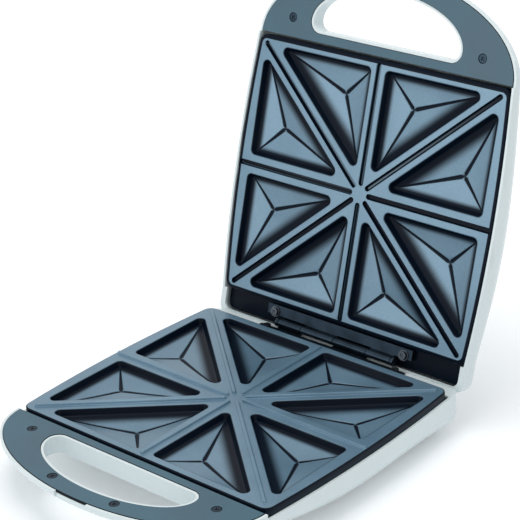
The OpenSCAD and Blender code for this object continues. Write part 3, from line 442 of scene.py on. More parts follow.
def rounded_rectangle(half_w: float, y0: float, y1: float, r: float) -> list[Vector]:
    """Outline of a rectangle about the centre line, its corners rounded.

    Args:
        half_w: Half width.
        y0: Front.
        y1: Back.
        r: Corner radius.

    Returns:
        The closed outline.
    """
    x = half_w - r
    corners = (x, y1 - r), (-x, y1 - r), (-x, y0 + r), (x, y0 + r)
    return [
        point for i, (cx, cy) in enumerate(corners)
        for point in arc(cx, cy, r, 90 * i, 90 * i + 90, SMALL_ARC_STEPS)
    ]


def with_mirror(points: Sequence[Vector]) -> list[Vector]:
    """Completes the right half of an outline, drawn front to back, with its left half."""
    left = [Vector((-p.x, p.y)) for p in reversed(points) if abs(p.x) > ON_CENTRE]
    return list(points) + left


def quarter_turn(steps: int) -> list[tuple[float, float]]:
    """Sine and cosine at even steps of a quarter turn, both ends included."""
    turns = [math.pi / 2 * step / steps for step in range(steps + 1)]
    return [(math.sin(turn), math.cos(turn)) for turn in turns]


def ease(t: float) -> float:
    """Smooth step from 0 to 1 over a share of the way, held at both ends."""
    held = min(1.0, max(0.0, t))
    return held * held * (3 - 2 * held)


@dataclass
class Sizes:
    """Sizes in millimetres that more than one piece needs."""

    plate_w: float = 245.0
    plate_d: float = 218.0
    plate_bow: float = 4.8
    plate_corner_r: float = 8.0
    land_gap: float = 0.8
    wall: float = 2.0
    casing_gap: float = 0.4
    handle_reach: float = 66.0
    trim_gap: float = 2.2
    trim_t: float = 2.5
    trim_drop: float = 1.0
    hole_half_w: float = 71.5
    hole_reach: float = 33.0
    hole_back: float = 9.3
    hole_r: float = 7.5
    trim_fit: float = 0.3
    hinge_y: float = 14.0
    hinge_z: float = -2.0
    leaf_half_w: float = 74.0
    notch_half_w: float = 15.5
    tip_steps: int = 40
    side_steps: int = 16
    corner_steps: int = 8

    @property
    def side_e(self) -> float:
        """Distance from a plate's edge to the outside of the casing."""
        return self.casing_gap + self.wall

    @property
    def mid_y(self) -> float:
        """Middle of the plates."""
        return -self.plate_d / 2

    @property
    def trim_y(self) -> float:
        """Back edge of the handle trim."""
        return -(self.plate_d + self.trim_gap)

    @property
    def front_y(self) -> float:
        """Foremost point of the casings."""
        return self.trim_y - self.handle_reach - self.side_e

    @property
    def casing_half_w(self) -> float:
        """Half width of the casings at the plates' corners."""
        return self.plate_w / 2 + self.side_e

    @property
    def land_z(self) -> float:
        """Level of the plates' flat lands."""
        return -self.land_gap / 2

    @property
    def trim_z(self) -> float:
        """Level of the handle trims' faces."""
        return self.land_z - self.trim_drop

    @property
    def hole_y(self) -> float:
        """Widest line of the hand hole."""
        return self.trim_y - self.hole_back - self.hole_r

    def bow_at(self, y: float) -> float:
        """How far the sides stand out at y."""
        return self.plate_bow * (1 - min(1.0, abs((y - self.mid_y) / self.mid_y)) ** 2)

    def plate_outline(self, grow: float) -> list[Vector]:
        """Outline of a cooking plate.

        Args:
            grow: Distance that it's grown by.

        Returns:
            The closed outline.
        """
        r = self.plate_corner_r
        cx = self.plate_w / 2 - r + self.bow_at(-r)
        run = self.plate_d - 2 * r
        ys = [r - self.plate_d + run * i / self.side_steps for i in range(1, self.side_steps)]
        side = [Vector((self.plate_w / 2 + self.bow_at(y) + grow, y)) for y in ys]
        front = arc(cx, r - self.plate_d, r + grow, -90, 0, self.corner_steps)
        back = arc(cx, -r, r + grow, 0, 90, self.corner_steps)
        return with_mirror(front + side + back)

    def tip(self, half_w: float, y: float, reach: float) -> list[Vector]:
        """Quarter ellipse from the front of a handle to its widest line, at y."""
        angles = [math.pi / 2 * (i / self.tip_steps - 1) for i in range(self.tip_steps)]
        return [Vector((half_w * math.cos(a), y + reach * math.sin(a))) for a in angles]

    def hole_outline(self, grow: float) -> list[Vector]:
        """Outline of the hand hole.

        Args:
            grow: Distance that it's grown by.

        Returns:
            The closed outline.
        """
        nose = self.tip(self.hole_half_w + grow, self.hole_y, self.hole_reach + grow)
        back = arc(self.hole_half_w - self.hole_r, self.hole_y, self.hole_r + grow, 0, 90,
                   self.corner_steps)
        return with_mirror(nose + back)

    def trim_outline(self, grow: float) -> list[Vector]:
        """Outline of a handle trim.

        Args:
            grow: Distance that it's grown by.

        Returns:
            The closed outline.
        """
        half_w = self.plate_w / 2 + grow
        nose = self.tip(half_w, self.trim_y, self.handle_reach + grow)
        return with_mirror(nose + [Vector((half_w, self.trim_y + grow))])


class Placement:
    """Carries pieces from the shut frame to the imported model's frame."""

    def __init__(self, sizes: Sizes, frame: dict[str, Any]) -> None:
        """Reads where the hinge is.

        Args:
            sizes: Shared sizes.
        """
        hinge = next(j for j in frame["joints"] if j["name"] == "lid_hinge")
        self.axis = Vector(hinge["pos_m"])
        self.open_angle = hinge["range_deg"][1]
        self.pin = Vector((0, sizes.hinge_y, sizes.hinge_z))

    def matrix(self, half: Half) -> Matrix:
        """Transform for a piece of one half. A lid piece is drawn like the base's and mirrored.

        Args:
            half: The half that the piece belongs to.

        Returns:
            A matrix from millimetres in the shut frame to metres in the model's frame.
        """
        home = Matrix.Translation(self.axis) @ Matrix.Scale(MM, 4)
        if half is Half.BASE:
            return home @ Matrix.Translation(-self.pin)
        swing = Matrix.Rotation(math.radians(-self.open_angle), 4, "X")
        over = Matrix.Scale(-1, 4, (0, 0, 1))
        return home @ swing @ Matrix.Translation(-self.pin) @ over


# ---- Mesh tools -----------------------------------------------------------------------


def lift(points: Iterable[Vector], z: float) -> list[Vector]:
    """Places plane points at one level."""
    return [Vector((p.x, p.y, z)) for p in points]


def start_ring(bm: BMesh, points: Sequence[Vector]) -> list[BMVert]:
    """Lays a closed ring of edges through points.

    Args:
        bm: Mesh that takes the ring.
        points: Points in space.

    Returns:
        The ring's vertices, in order.
    """
    ring = bmesh.ops.create_circle(bm, segments=len(points), radius=1)["verts"]
    for vert, point in zip(ring, points):
        vert.co = point
    return ring


def ring_edges(ring: Sequence[BMVert]) -> list[bmesh.types.BMEdge]:
    """Edges of a closed ring, in order."""
    around = zip(ring, list(ring[1:]) + [ring[0]])
    return [next(e for e in a.link_edges if e.other_vert(a) is b) for a, b in around]


def grow_ring(bm: BMesh, ring: Sequence[BMVert], points: Sequence[Vector]) -> list[BMVert]:
    """Extrudes a closed ring and moves the new one to points.

    Args:
        bm: Mesh that holds the ring.
        ring: The ring's vertices, in order.
        points: Places of the new vertices.

    Returns:
        The new ring's vertices, in order.
    """
    grown = bmesh.ops.extrude_edge_only(bm, edges=ring_edges(ring))["geom"]
    fresh = {v for v in grown if isinstance(v, BMVert)}
    after = [
        next(e.other_vert(v) for e in v.link_edges if e.other_vert(v) in fresh) for v in ring
    ]
    for vert, point in zip(after, points):
        vert.co = point
    return after


def cap(bm: BMesh, ring: Sequence[BMVert]) -> None:
    """Closes a ring with one face."""
    bmesh.ops.contextual_create(bm, geom=ring_edges(ring))


def prisms(*outlines: Sequence[Vector], low: float = -FAR, high: float = FAR) -> BMesh:
    """Makes upright prisms to cut or to join with, endless where no level is given.

    Args:
        outlines: Closed outline of each one.
        low: Lower level.
        high: Upper level.

    Returns:
        A new closed mesh.
    """
    bm = bmesh.new()
    for outline in outlines:
        bottom = start_ring(bm, lift(outline, low))
        cap(bm, bottom)
        cap(bm, grow_ring(bm, bottom, lift(outline, high)))
    return bm


def to_object(name: str, bm: BMesh) -> bpy.types.Object:
    """Makes a scene object of a closed mesh, its faces outwards.

    Args:
        name: Name of the object.
        bm: Mesh, which is freed.

    Returns:
        The object.
    """
    bmesh.ops.recalc_face_normals(bm, faces=bm.faces)
    mesh = bpy.data.meshes.new(name)
    bm.to_mesh(mesh)
    bm.free()
    thing = bpy.data.objects.new(name, mesh)
    bpy.context.scene.collection.objects.link(thing)
    return thing


def modify(thing: bpy.types.Object, kind: str, **settings: Any) -> None:
    """Reshapes an object's mesh with one modifier.

    Args:
        thing: The object.
        kind: The modifier's type name.
        settings: The modifier's own properties.
    """
    step = thing.modifiers.new(kind, kind)
    for name, value in settings.items():
        setattr(step, name, value)
    graph = bpy.context.evaluated_depsgraph_get()
    mesh = bpy.data.meshes.new_from_object(thing.evaluated_get(graph))
    old = thing.data
    thing.modifiers.clear()
    thing.data = mesh
    bpy.data.meshes.remove(old)


def carve(thing: bpy.types.Object, cutter: BMesh, operation: str = "DIFFERENCE") -> None:
    """Cuts a closed mesh out of an object, or joins it on.

    Args:
        thing: The object that is cut.
        cutter: Closed mesh, which is freed.
        operation: Name of the boolean operation.
    """
    tool = to_object("cutter", cutter)
    modify(thing, "BOOLEAN", operation=operation, solver="EXACT", object=tool)
    mesh = tool.data
    bpy.data.objects.remove(tool)
    bpy.data.meshes.remove(mesh)


def soften(thing: bpy.types.Object, width: float, angle: float = 35.0, segments: int = 2) -> None:
    """Rounds an object's sharp edges and shades it smooth.

    Args:
        thing: The object.
        width: Width of the rounding in the object's own units, or 0 for none.
        angle: Least angle of an edge that is sharp, in degrees.
        segments: Number of strips in the rounding.
    """
    limit = math.radians(angle)
    if width:
        modify(thing, "BEVEL", width=width, segments=segments, limit_method="ANGLE",
               angle_limit=limit, use_clamp_overlap=True)
    thing.data.shade_smooth()
    thing.data.set_sharp_from_angle(angle=limit)


def even_out(thing: bpy.types.Object) -> None:
    """Lets large faces keep their own direction where they meet narrow ones."""
    modify(thing, "WEIGHTED_NORMAL", keep_sharp=True)


def inward(outline: Sequence[Vector]) -> list[Vector]:
    """Directions from an outline's corners to its inside, long sides counting most.

    Args:
        outline: Closed outline, turning left.

    Returns:
        One unit vector for each corner.
    """
    sides = [b - a for a, b in zip(outline, list(outline[1:]) + [outline[0]])]
    across = [Vector((-side.y, side.x)) for side in sides]
    return [(across[i - 1] + across[i]).normalized() for i in range(len(outline))]


def follow_outline(thing: bpy.types.Object, outline: Sequence[Vector], matrix: Matrix) -> None:
    """Shades an upright wall by the outline that it was cut along.

    A cut leaves extra corners on the wall's rim, which would otherwise show as stripes.

    Args:
        thing: The object, in place.
        outline: Outline of the opening in the shut frame.
        matrix: Transform that placed the object.
    """
    mesh = thing.data
    back = matrix.inverted()
    turn = matrix.to_3x3().normalized()
    facing = inward(outline)
    smooth: dict[int, Vector] = {}
    for vert in mesh.vertices:
        spot = (back @ vert.co).xy
        for i, end in enumerate(outline):
            start, side = outline[i - 1], end - outline[i - 1]
            share = min(1.0, max(0.0, (spot - start).dot(side) / side.length_squared))
            if (start + side * share - spot).length < WALL_REACH:
                way = facing[i - 1].lerp(facing[i], share).to_3d()
                smooth[vert.index] = (turn @ way).normalized()
                break
    normals = [corner.vector.copy() for corner in mesh.corner_normals]
    for face in mesh.polygons:
        for corner in face.loop_indices:
            way = smooth.get(mesh.loops[corner].vertex_index)
            if way and max(face.normal.dot(way), normals[corner].dot(way)) > WALL_LIKENESS:
                normals[corner] = way
    mesh.normals_split_custom_set(normals)


def settle(thing: bpy.types.Object, matrix: Matrix) -> None:
    """Moves an object's mesh to its place and leaves the object at the origin.

    Args:
        thing: The object.
        matrix: Transform of the mesh.
    """
    thing.data.transform(matrix)
    if matrix.determinant() < 0:
        thing.data.flip_normals()
    thing.data.update()


class Workshop:
    """Dresses pieces, puts them on their bodies and keeps count."""

    def __init__(self, frame: dict[str, Any]) -> None:
        """Builds the materials and reads which slot each node takes.
        """
        self.nodes: dict[str, bpy.types.Object] = frame["nodes"]
        record = frame["record"]
        self.slots = {s["node"]: s["material_slot"] for s in record["subparts"]}
        self.bodies = {
            node: body
            for body, members in record["behaviour"]["bodies"].items() for node in members
        }
        self.materials = {slot: finish.build() for slot, finish in FINISHES.items()}
        self.replaced: set[str] = set()

    def dress(self, thing: bpy.types.Object, slot: str) -> None:
        """Gives a piece its material."""
        thing.data.materials.clear()
        thing.data.materials.append(self.materials[slot])

    def hand_over(self, thing: bpy.types.Object, node: str) -> None:
        """Finishes a new piece, which takes the body and the slot of the node it stands for.

        Args:
            thing: The piece, in place.
            node: The CAD node.
        """
        body, slot = self.bodies[node], self.slots[node]
        self.dress(thing, slot)
        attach(thing, body)
        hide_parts(node)
        self.replaced.add(node)
        LOG.info("%s rides on %s, %d faces", thing.name, body, len(thing.data.polygons))

    def remodel(self, node: str, width: float, segments: int = 2) -> bpy.types.Object:
        """Remodels a hard CAD piece with softened edges.

        Args:
            node: The node.
            width: Width of the softened edges in millimetres.
            segments: Number of strips in an edge.

        Returns:
            The new piece, not yet handed over.
        """
        bm = bmesh.new()
        bm.from_mesh(self.nodes[node].data)
        bmesh.ops.remove_doubles(bm, verts=bm.verts, dist=SAME_SPOT * MM)
        bmesh.ops.dissolve_limit(
            bm, angle_limit=math.radians(SAME_FACE), verts=bm.verts, edges=bm.edges
        )
        thing = to_object(node + "_finished", bm)
        soften(thing, width * MM, segments=segments)
        even_out(thing)
        return thing

    def refine(self, node: str, width: float) -> None:
        """Puts a piece with softened edges, their width in millimetres, in place of its node."""
        self.hand_over(self.remodel(node, width), node)

    def carry_over(self) -> None:
        """Dresses every CAD node that stays as it is."""
        for name, thing in self.nodes.items():
            if name not in self.replaced:
                self.dress(thing, self.slots[name])
                LOG.info("%s stays, dressed as %s", name, self.slots[name])


# ---- Casings --------------------------------------------------------------------------


@dataclass
class Casing:
    """Moulded casing of one half, with the looped handle at its front."""

    half: Half
    rear_y: float
    rear_r: float
    depth_mid: float
    mid_y: float
    depth_tip: float
    depth_rear: float
    rim_drop: float
    notch_depth: float
    sizes: Sizes = field(default_factory=Sizes)
    edge_r: float = 22.0
    tip_edge_r: float = 7.0
    corner_r: float = 8.0
    # How far the pillow shape rises above the meeting plane before its rim is cut
    head_room: float = 6.0
    # How far the handle's rim lies below the face of its trim
    handle_drop: float = 0.5
    edge_steps: int = 9
    floor_steps: int = 9
    soft_edge: float = 0.5

    @property
    def step_y(self) -> float:
        """Line at which the rim steps down to the handle."""
        return self.sizes.trim_y + self.sizes.trim_gap / 3

    def outline(self, shrink: float) -> list[Vector]:
        """Outline of the casing seen from above.

        Args:
            shrink: Distance that it's drawn in by.

        Returns:
            The closed outline.
        """
        s = self.sizes
        reach = s.handle_reach + s.side_e - shrink
        nose = s.tip(s.casing_half_w - shrink, s.trim_y, reach)
        end_y = self.rear_y - self.corner_r
        ys = [s.trim_y + (end_y - s.trim_y) * i / s.side_steps for i in range(s.side_steps)]
        side = [Vector((self.half_width(y) - shrink, y)) for y in ys]
        back = arc(self.half_width(end_y) - self.corner_r, end_y, self.corner_r - shrink,
                   0, 90, s.corner_steps)
        return with_mirror(nose + side + back)

    def half_width(self, y: float) -> float:
        """Half width of the casing at y, with the bow of the sides."""
        s = self.sizes
        return s.casing_half_w + s.bow_at(min(0.0, max(y, -s.plate_d)))

    def along(self, y: float, tip: float, mid: float, rear: float, power: int) -> float:
        """Blends a size from the handle's tip over the casing's middle to its back.

        Args:
            y: Place along the casing.
            tip: Size at the handle's tip.
            mid: Size at the middle.
            rear: Size at the back.
            power: How late the size changes behind the middle.

        Returns:
            Size at y.
        """
        front = self.sizes.front_y
        if y < self.mid_y:
            return tip + (mid - tip) * ease((y - front) / (self.mid_y - front))
        return mid - (mid - rear) * ((y - self.mid_y) / (self.rear_y - self.mid_y)) ** power

    def depth(self, y: float) -> float:
        """Depth of the casing below the meeting plane at y."""
        return self.along(y, self.depth_tip, self.depth_mid, self.depth_rear, 2)

    def edge_radius(self, y: float) -> float:
        """Radius of the long lower edge at y, small at the handle and at the back."""
        return self.along(y, self.tip_edge_r, self.edge_r, self.rear_r, 4)

    def form(self, shrink: float) -> BMesh:
        """Closed pillow shape of the casing.

        Args:
            shrink: Distance that it's drawn in by.

        Returns:
            A new mesh.
        """
        s = self.sizes
        outline = self.outline(shrink)
        centre = Vector((0, (s.front_y + self.rear_y) / 2))
        reach = Vector((s.casing_half_w + s.plate_bow, (self.rear_y - s.front_y) / 2))
        bm = bmesh.new()
        ring = start_ring(bm, lift(outline, self.head_room))
        cap(bm, ring)

        def drawn_in(p: Vector, inset: float) -> Vector:
            """Moves a point of the outline towards the middle."""
            off = p - centre
            return centre + Vector((off.x * (1 - inset / reach.x), off.y * (1 - inset / reach.y)))

        edge: list[Vector] = []
        for sine, cosine in quarter_turn(self.edge_steps):
            edge = []
            for p in outline:
                r = self.edge_radius(p.y) - shrink
                at = drawn_in(p, r * (1 - cosine))
                low = self.depth(at.y) - shrink - r * (1 - sine)
                edge.append(Vector((at.x, at.y, -low)))
            ring = grow_ring(bm, ring, edge)
        for step in range(1, self.floor_steps):
            share = 1 - step / self.floor_steps
            flat = [centre + (p.xy - centre) * share for p in edge]
            points = [Vector((p.x, p.y, shrink - self.depth(p.y))) for p in flat]
            ring = grow_ring(bm, ring, points)
        cap(bm, ring)
        return bm

    def cavity(self) -> bpy.types.Object:
        """Inside of the casing, without the walls and decks that cross it.

        Returns:
            A closed object to cut with.
        """
        s = self.sizes
        inside = to_object("cavity", self.form(s.wall))
        notch_y = s.front_y + self.notch_depth + s.wall
        carve(inside, prisms(s.hole_outline(s.wall)))
        carve(inside, prisms(rectangle(0, FAR, s.casing_gap), low=-self.rim_drop - s.wall))
        carve(inside, prisms(rectangle(0, s.notch_half_w + s.wall, y1=notch_y)))
        return inside

    def openings(self) -> Iterable[BMesh]:
        """Everything that is cut through the casing.

        Yields:
            Closed meshes to cut with.
        """
        s = self.sizes
        seat_y = s.front_y + s.side_e + s.trim_fit
        yield prisms(rectangle(0, FAR, self.step_y), low=-self.rim_drop)
        yield prisms(rectangle(0, FAR, y1=self.step_y), low=s.trim_z - self.handle_drop)
        yield prisms(s.hole_outline(0))
        yield prisms(rectangle(0, s.notch_half_w, y1=s.front_y + self.notch_depth))
        yield prisms(rectangle(0, s.notch_half_w, y1=seat_y), low=s.trim_z - s.trim_t)

    def recess(self) -> bpy.types.Object:
        """Seat of the handle trim.

        Returns:
            A closed object to cut with.
        """
        s = self.sizes
        seat = to_object("seat", prisms(s.trim_outline(s.trim_fit), low=s.trim_z - s.trim_t))
        carve(seat, prisms(s.hole_outline(s.wall)))
        return seat

    def build(self, shop: Workshop, placement: Placement, node: str) -> None:
        """Models the casing and puts it in place of its node.

        Args:
            shop: Workshop that finishes it.
            placement: Way to the model's frame.
            node: Name of the CAD node.
        """
        thing = to_object(node + "_moulding", self.form(0))
        for tool in (self.cavity(), self.recess()):
            cutter = bmesh.new()
            cutter.from_mesh(tool.data)
            carve(thing, cutter)
            bpy.data.objects.remove(tool)
        for cutter in self.openings():
            carve(thing, cutter)
        soften(thing, self.soft_edge)
        self.tone(thing)
        matrix = placement.matrix(self.half)
        settle(thing, matrix)
        even_out(thing)
        follow_outline(thing, self.sizes.hole_outline(0), matrix)
        shop.hand_over(thing, node)

    def tone(self, thing: bpy.types.Object) -> None:
        """Says where shade is painted on the casing, which a plain one has nowhere."""


@dataclass
class BaseCasing(Casing):
    """Casing that stands on the worktop, with seats for its feet, vents and a hinge recess."""

    foot_x: float = 86.0
    foot_ys: tuple[float, float] = (-10.0, -150.0)
    foot_seat_r: float = 8.2
    foot_seat_depth: float = 1.0
    vent_count: int = 7
    vent_pitch: float = 12.0
    vent_half_w: float = 1.5
    vent_ys: tuple[float, float] = (-75.0, -45.0)
    # Height of the cut from the casing's underside, more than its wall
    vent_cut: float = 3.0
    # Room at the ends of the hinge's leaf and behind its pin, and the recess's floor
    hinge_side: float = 1.0
    hinge_back: float = 3.5
    hinge_floor: float = -12.3
    # How far the painted shade of the hinge recess goes beyond its walls and floor
    shade_over: float = 0.1
    # How far that painted shade stops short of the casing's back and of its rim
    shade_end: float = 0.4
    shade_top: float = 0.6

    def tone(self, thing: bpy.types.Object) -> None:
        """Paints shade into the recess under the hinge.

        Args:
            thing: The casing in the shut frame.
        """
        over = self.shade_over
        half_w = self.sizes.leaf_half_w + self.hinge_side + over
        front, back = self.sizes.casing_gap - over, self.rear_y - self.shade_end
        low, high = self.hinge_floor - over, -self.rim_drop - self.shade_top
        tones = thing.data.attributes.new(SHADE, "FLOAT", "POINT").data
        for vert, tone in zip(thing.data.vertices, tones):
            x, y, z = vert.co
            inside = abs(x) < half_w and front < y < back and low < z < high
            tone.value = 1.0 if inside else 0.0

    def openings(self) -> Iterable[BMesh]:
        """Adds the openings that only the base has.

        Yields:
            Closed meshes to cut with.
        """
        yield from super().openings()
        s = self.sizes
        leaf = rectangle(0, s.leaf_half_w + self.hinge_side, s.casing_gap,
                         s.hinge_y + self.hinge_back)
        yield prisms(leaf, low=self.hinge_floor)
        feet = [disc(x, y, self.foot_seat_r) for x in (-self.foot_x, self.foot_x)
                for y in self.foot_ys]
        yield prisms(*feet, high=self.foot_seat_depth - self.depth_mid)
        first = -self.vent_pitch * (self.vent_count - 1) / 2
        vents = [rectangle(first + self.vent_pitch * i, self.vent_half_w, *self.vent_ys)
                 for i in range(self.vent_count)]
        yield prisms(*vents, high=self.vent_cut - self.depth_mid)


@dataclass
class LidCasing(Casing):
    """Casing of the lid, with the hinge channel behind its plate and the holes of two lenses."""

    channel_half_w: float = 120.0
    channel_front: float = -12.0
    channel_back: float = 4.2
    channel_r: float = 6.0
    # How much deeper the channel is cut than the casing's wall
    channel_floor: float = 1.0
    # Place of the lenses, off the centre line and before the plates' middle
    lens_x: float = 15.0
    lens_y: float = 79.0
    lens_hole_r: float = 4.15
    # Level at which the cut of the lens holes ends inside the casing
    lens_cut: float = -5.0

    def openings(self) -> Iterable[BMesh]:
        """Adds the openings that only the lid has.

        Yields:
            Closed meshes to cut with.
        """
        yield from super().openings()
        channel = rounded_rectangle(self.channel_half_w, self.channel_front,
                                    self.rear_y - self.channel_back, self.channel_r)
        yield prisms(channel, low=-self.sizes.wall - self.channel_floor)
        lens_y = self.sizes.mid_y - self.lens_y
        lenses = [disc(x, lens_y, self.lens_hole_r) for x in (-self.lens_x, self.lens_x)]
        yield prisms(*lenses, high=self.lens_cut)


# ---- Cooking plates -------------------------------------------------------------------


class Sealing(Enum):
    """What runs between the pockets of a plate."""

    GROOVES = -1
    RIDGES = 1


@dataclass
class Pocket:
    """Triangular pocket, given by its corners round the hub, turning left."""

    corners: tuple[Vector, Vector, Vector]
    corner_r: float
    corner_steps: int = 6

    @property
    def centre(self) -> Vector:
        """Centre of the inscribed circle, where the floor faces meet.

        Returns:
            A point relative to the hub.
        """
        a, b, c = (
            (self.corners[(i + 1) % 3] - self.corners[(i + 2) % 3]).length for i in range(3)
        )
        p, q, r = self.corners
        return (p * a + q * b + r * c) / (a + b + c)

    @property
    def in_radius(self) -> float:
        """Radius of the inscribed circle.

        Returns:
            The radius in millimetres.
        """
        along = (self.corners[1] - self.corners[0]).normalized()
        off = self.centre - self.corners[0]
        return abs(along.x * off.y - along.y * off.x)

    def outline(self, grow: float) -> list[Vector]:
        """Rounded outline.

        Args:
            grow: Distance that it's grown by.

        Returns:
            The closed outline, relative to the hub, corner by corner.
        """
        centre = self.centre
        share = self.corner_r / self.in_radius
        points: list[Vector] = []
        for i in range(3):
            corner = self.corners[i]
            before = corner - self.corners[(i + 2) % 3]
            after = self.corners[(i + 1) % 3] - corner
            first = math.degrees(math.atan2(before.y, before.x)) - 90
            sweep = math.degrees(math.atan2(after.y, after.x)) - 90 - first
            at = corner + (centre - corner) * share
            points += arc(at.x, at.y, self.corner_r + grow, first, first + sweep % 360,
                          self.corner_steps)
        return points

    def floor(self, inset: float, share: float, half_w: float) -> list[Vector]:
        """Ring of the floor with a flat step across each valley.

        Args:
            inset: Distance from the pocket's outline to the foot of its wall.
            share: Share of the way from the foot to the lowest point.
            half_w: Half width of the valleys.

        Returns:
            Points relative to the hub, corner by corner.
        """
        centre = self.centre
        size = (self.in_radius - inset) * (1 - share) / self.in_radius
        sharp = [centre + (corner - centre) * size for corner in self.corners]
        points: list[Vector] = []
        for i in range(3):
            before = (sharp[i] - sharp[i - 1]).normalized()
            after = (sharp[(i + 1) % 3] - sharp[i]).normalized()
            along = half_w / math.sin((-before).angle(after) / 2)
            first, last = sharp[i] - before * along, sharp[i] + after * along
            points += [first.lerp(last, k / self.corner_steps)
                       for k in range(self.corner_steps + 1)]
        return points


@dataclass
class CookingPlate:
    """Cast plate with eight pockets and eight sealing grooves or ridges round a hub."""

    half: Half
    sealing: Sealing
    edge_w: float
    edge_drop: float
    sizes: Sizes = field(default_factory=Sizes)
    rim_depth: float = 11.5
    rim_t: float = 3.0
    land_t: float = 4.5
    pocket_t: float = 2.8
    wall_d: float = 5.4
    apex_d: float = 8.4
    draft: float = 1.5
    pocket_r: float = 4.0
    margin_centre: float = 7.3
    margin_end: float = 7.5
    margin_diagonal: float = 7.5
    margin_cross: float = 8.5
    margin_side: float = 7.0
    hub_r: float = 7.0
    groove_w: float = 4.5
    groove_flare: float = 0.15
    groove_d: float = 2.6
    ridge_w: float = 3.4
    ridge_h: float = 2.0
    lip_r: float = 1.1
    foot_r: float = 1.5
    # Width of a valley at the foot of the wall and at the lowest point
    valley_w0: float = 1.2
    valley_w1: float = 4.4
    valley_d: float = 0.7
    # Above 1 the floor falls more steeply near the wall than at the lowest point
    dish: float = 1.5
    # How many times sooner than the lip its painted shade is full, and than the floor a valley is
    # deep
    lip_haste: float = 1.5
    valley_haste: float = 6.0
    # How steeply a valley's sides rise, for its width and depth
    valley_rise: float = 4.0
    # How far short of the plate's corners, sides and ends the sealing lines stop
    stop_corner: float = 11.0
    stop_side: float = 3.5
    stop_end: float = 5.0
    line_steps: int = 8
    lip_steps: int = 4
    floor_shares: tuple[float, ...] = (
        0.04, 0.09, 0.14, 0.19, 0.25, 0.31, 0.38, 0.46, 0.56, 0.72, 0.88,
    )
    # How far the painted shade at the foot of each wall reaches and where it has faded, diagonal
    # wall second
    floor_shade: tuple[tuple[float, float], ...] = ((0.02, 0.2), (0.12, 0.5), (0.02, 0.2))
    # Grooves: how far each ring is drawn in, how deep it lies and how much shade is painted on it
    groove_rings: tuple[tuple[float, float, float], ...] = (
        (0.0, 0.12, 0.6), (0.06, 0.5, 1.0), (0.16, 0.85, 1.0), (0.3, 1.0, 0.9),
        (0.42, 1.0, 0.25), (0.8, 1.0, 0.15),
    )
    # Ridges: how far each ring is drawn in, how high it lies and how much shade is painted on it
    ridge_rings: tuple[tuple[float, float, float], ...] = (
        (0.0, 0.08, 0.6), (0.1, 0.5, 0.4), (0.24, 0.84, 0.1), (0.45, 1.0, 0.0),
    )
    lip_flare: float = 0.45
    # Width and fall of the strip in which the painted shade starts at the land's edge
    tone_w: float = 0.25
    tone_drop: float = 0.02
    # A corner no further below the land than this lies on it
    land_slack: float = 0.01
    # Size of the small edges under the rim, and how much shade is painted on the rim's inside
    rim_edge: float = 0.4
    rim_tone: float = 0.85
    # Flange of the lid's plate, under the hinge's leaf, and the two tabs of the base's
    flange_half_w: float = 119.5
    flange_ys: tuple[float, float] = (-8.0, 17.6)
    flange_r: float = 5.5
    flange_zs: tuple[float, float] = (-7.6, -5.1)
    tab_x: float = 66.0
    tab_half_w: float = 7.0
    tab_ys: tuple[float, float] = (-1.0, 11.0)
    tab_zs: tuple[float, float] = (-9.05, -6.55)
    # Line behind which everything below the land takes full painted shade
    behind_y: float = -8.5
    # Least angle of a sharp edge, in degrees
    sharp_from: float = 27.0
    # Upright part of the normal above which a face counts as level
    level_from: float = 0.99999

    def pockets(self) -> tuple[Pocket, Pocket]:
        """The two pockets of one quarter, relative to the hub.

        Returns:
            The pocket at the end and the one at the side.
        """
        half_w, half_d = self.sizes.plate_w / 2, self.sizes.plate_d / 2
        clear = self.margin_diagonal * math.hypot(half_w, half_d)
        end_v, side_u = half_d - self.margin_end, half_w - self.margin_side
        end = Pocket((
            Vector((self.margin_centre, end_v)),
            Vector((self.margin_centre, (self.margin_centre * half_d + clear) / half_w)),
            Vector(((end_v * half_w - clear) / half_d, end_v)),
        ), self.pocket_r)
        side = Pocket((
            Vector((side_u, self.margin_cross)),
            Vector((side_u, (side_u * half_d - clear) / half_w)),
            Vector(((self.margin_cross * half_w + clear) / half_d, self.margin_cross)),
        ), self.pocket_r)
        return end, side

    def place(self, points: Iterable[Vector], sx: int, sy: int, z: float) -> list[Vector]:
        """Puts points of one quarter, given by its side and its end of the hub, in place."""
        mid_y = self.sizes.mid_y
        return [Vector((sx * p.x, mid_y + sy * p.y, z)) for p in points]

    def rays(self) -> list[tuple[float, float, float]]:
        """Straight lines of the sealing.

        Returns:
            For each line its angle, its start and its end, both from the hub.
        """
        s = self.sizes
        width = self.groove_w if self.sealing is Sealing.GROOVES else self.ridge_w
        start = self.hub_r + width / 2
        lean = math.degrees(math.atan2(s.plate_d, s.plate_w))
        long_run = math.hypot(s.plate_w, s.plate_d) / 2 - self.stop_corner
        ends = {
            lean: long_run,
            -lean: long_run,
            0: s.plate_w / 2 + s.plate_bow - self.stop_side,
            90: s.plate_d / 2 - self.stop_end,
        }
        return [(turn + angle, start, end) for turn in (0, 180) for angle, end in ends.items()]

    def slot(self, ray: tuple[float, float, float], half_w: float, z: float) -> list[Vector]:
        """Outline of one sealing line.

        Args:
            ray: Angle, start and end.
            half_w: Half width.
            z: Level.

        Returns:
            Points in space.
        """
        angle, start, end = ray
        flat = arc(end, 0, half_w, -90, 90, self.line_steps)
        flat += arc(start, 0, half_w, 90, 270, self.line_steps)
        turn = Matrix.Rotation(math.radians(angle), 2)
        return self.place([turn @ p for p in flat], 1, 1, z)

    def mark(self, bm: BMesh, verts: Iterable[BMVert], shade: float) -> None:
        """Paints shade on the coating at some vertices.

        Args:
            bm: Mesh that holds them.
            verts: The vertices.
            shade: 0 for the plain coating, 1 for full painted shade.
        """
        layer = bm.verts.layers.float[SHADE]
        for vert in verts:
            vert[layer] = shade

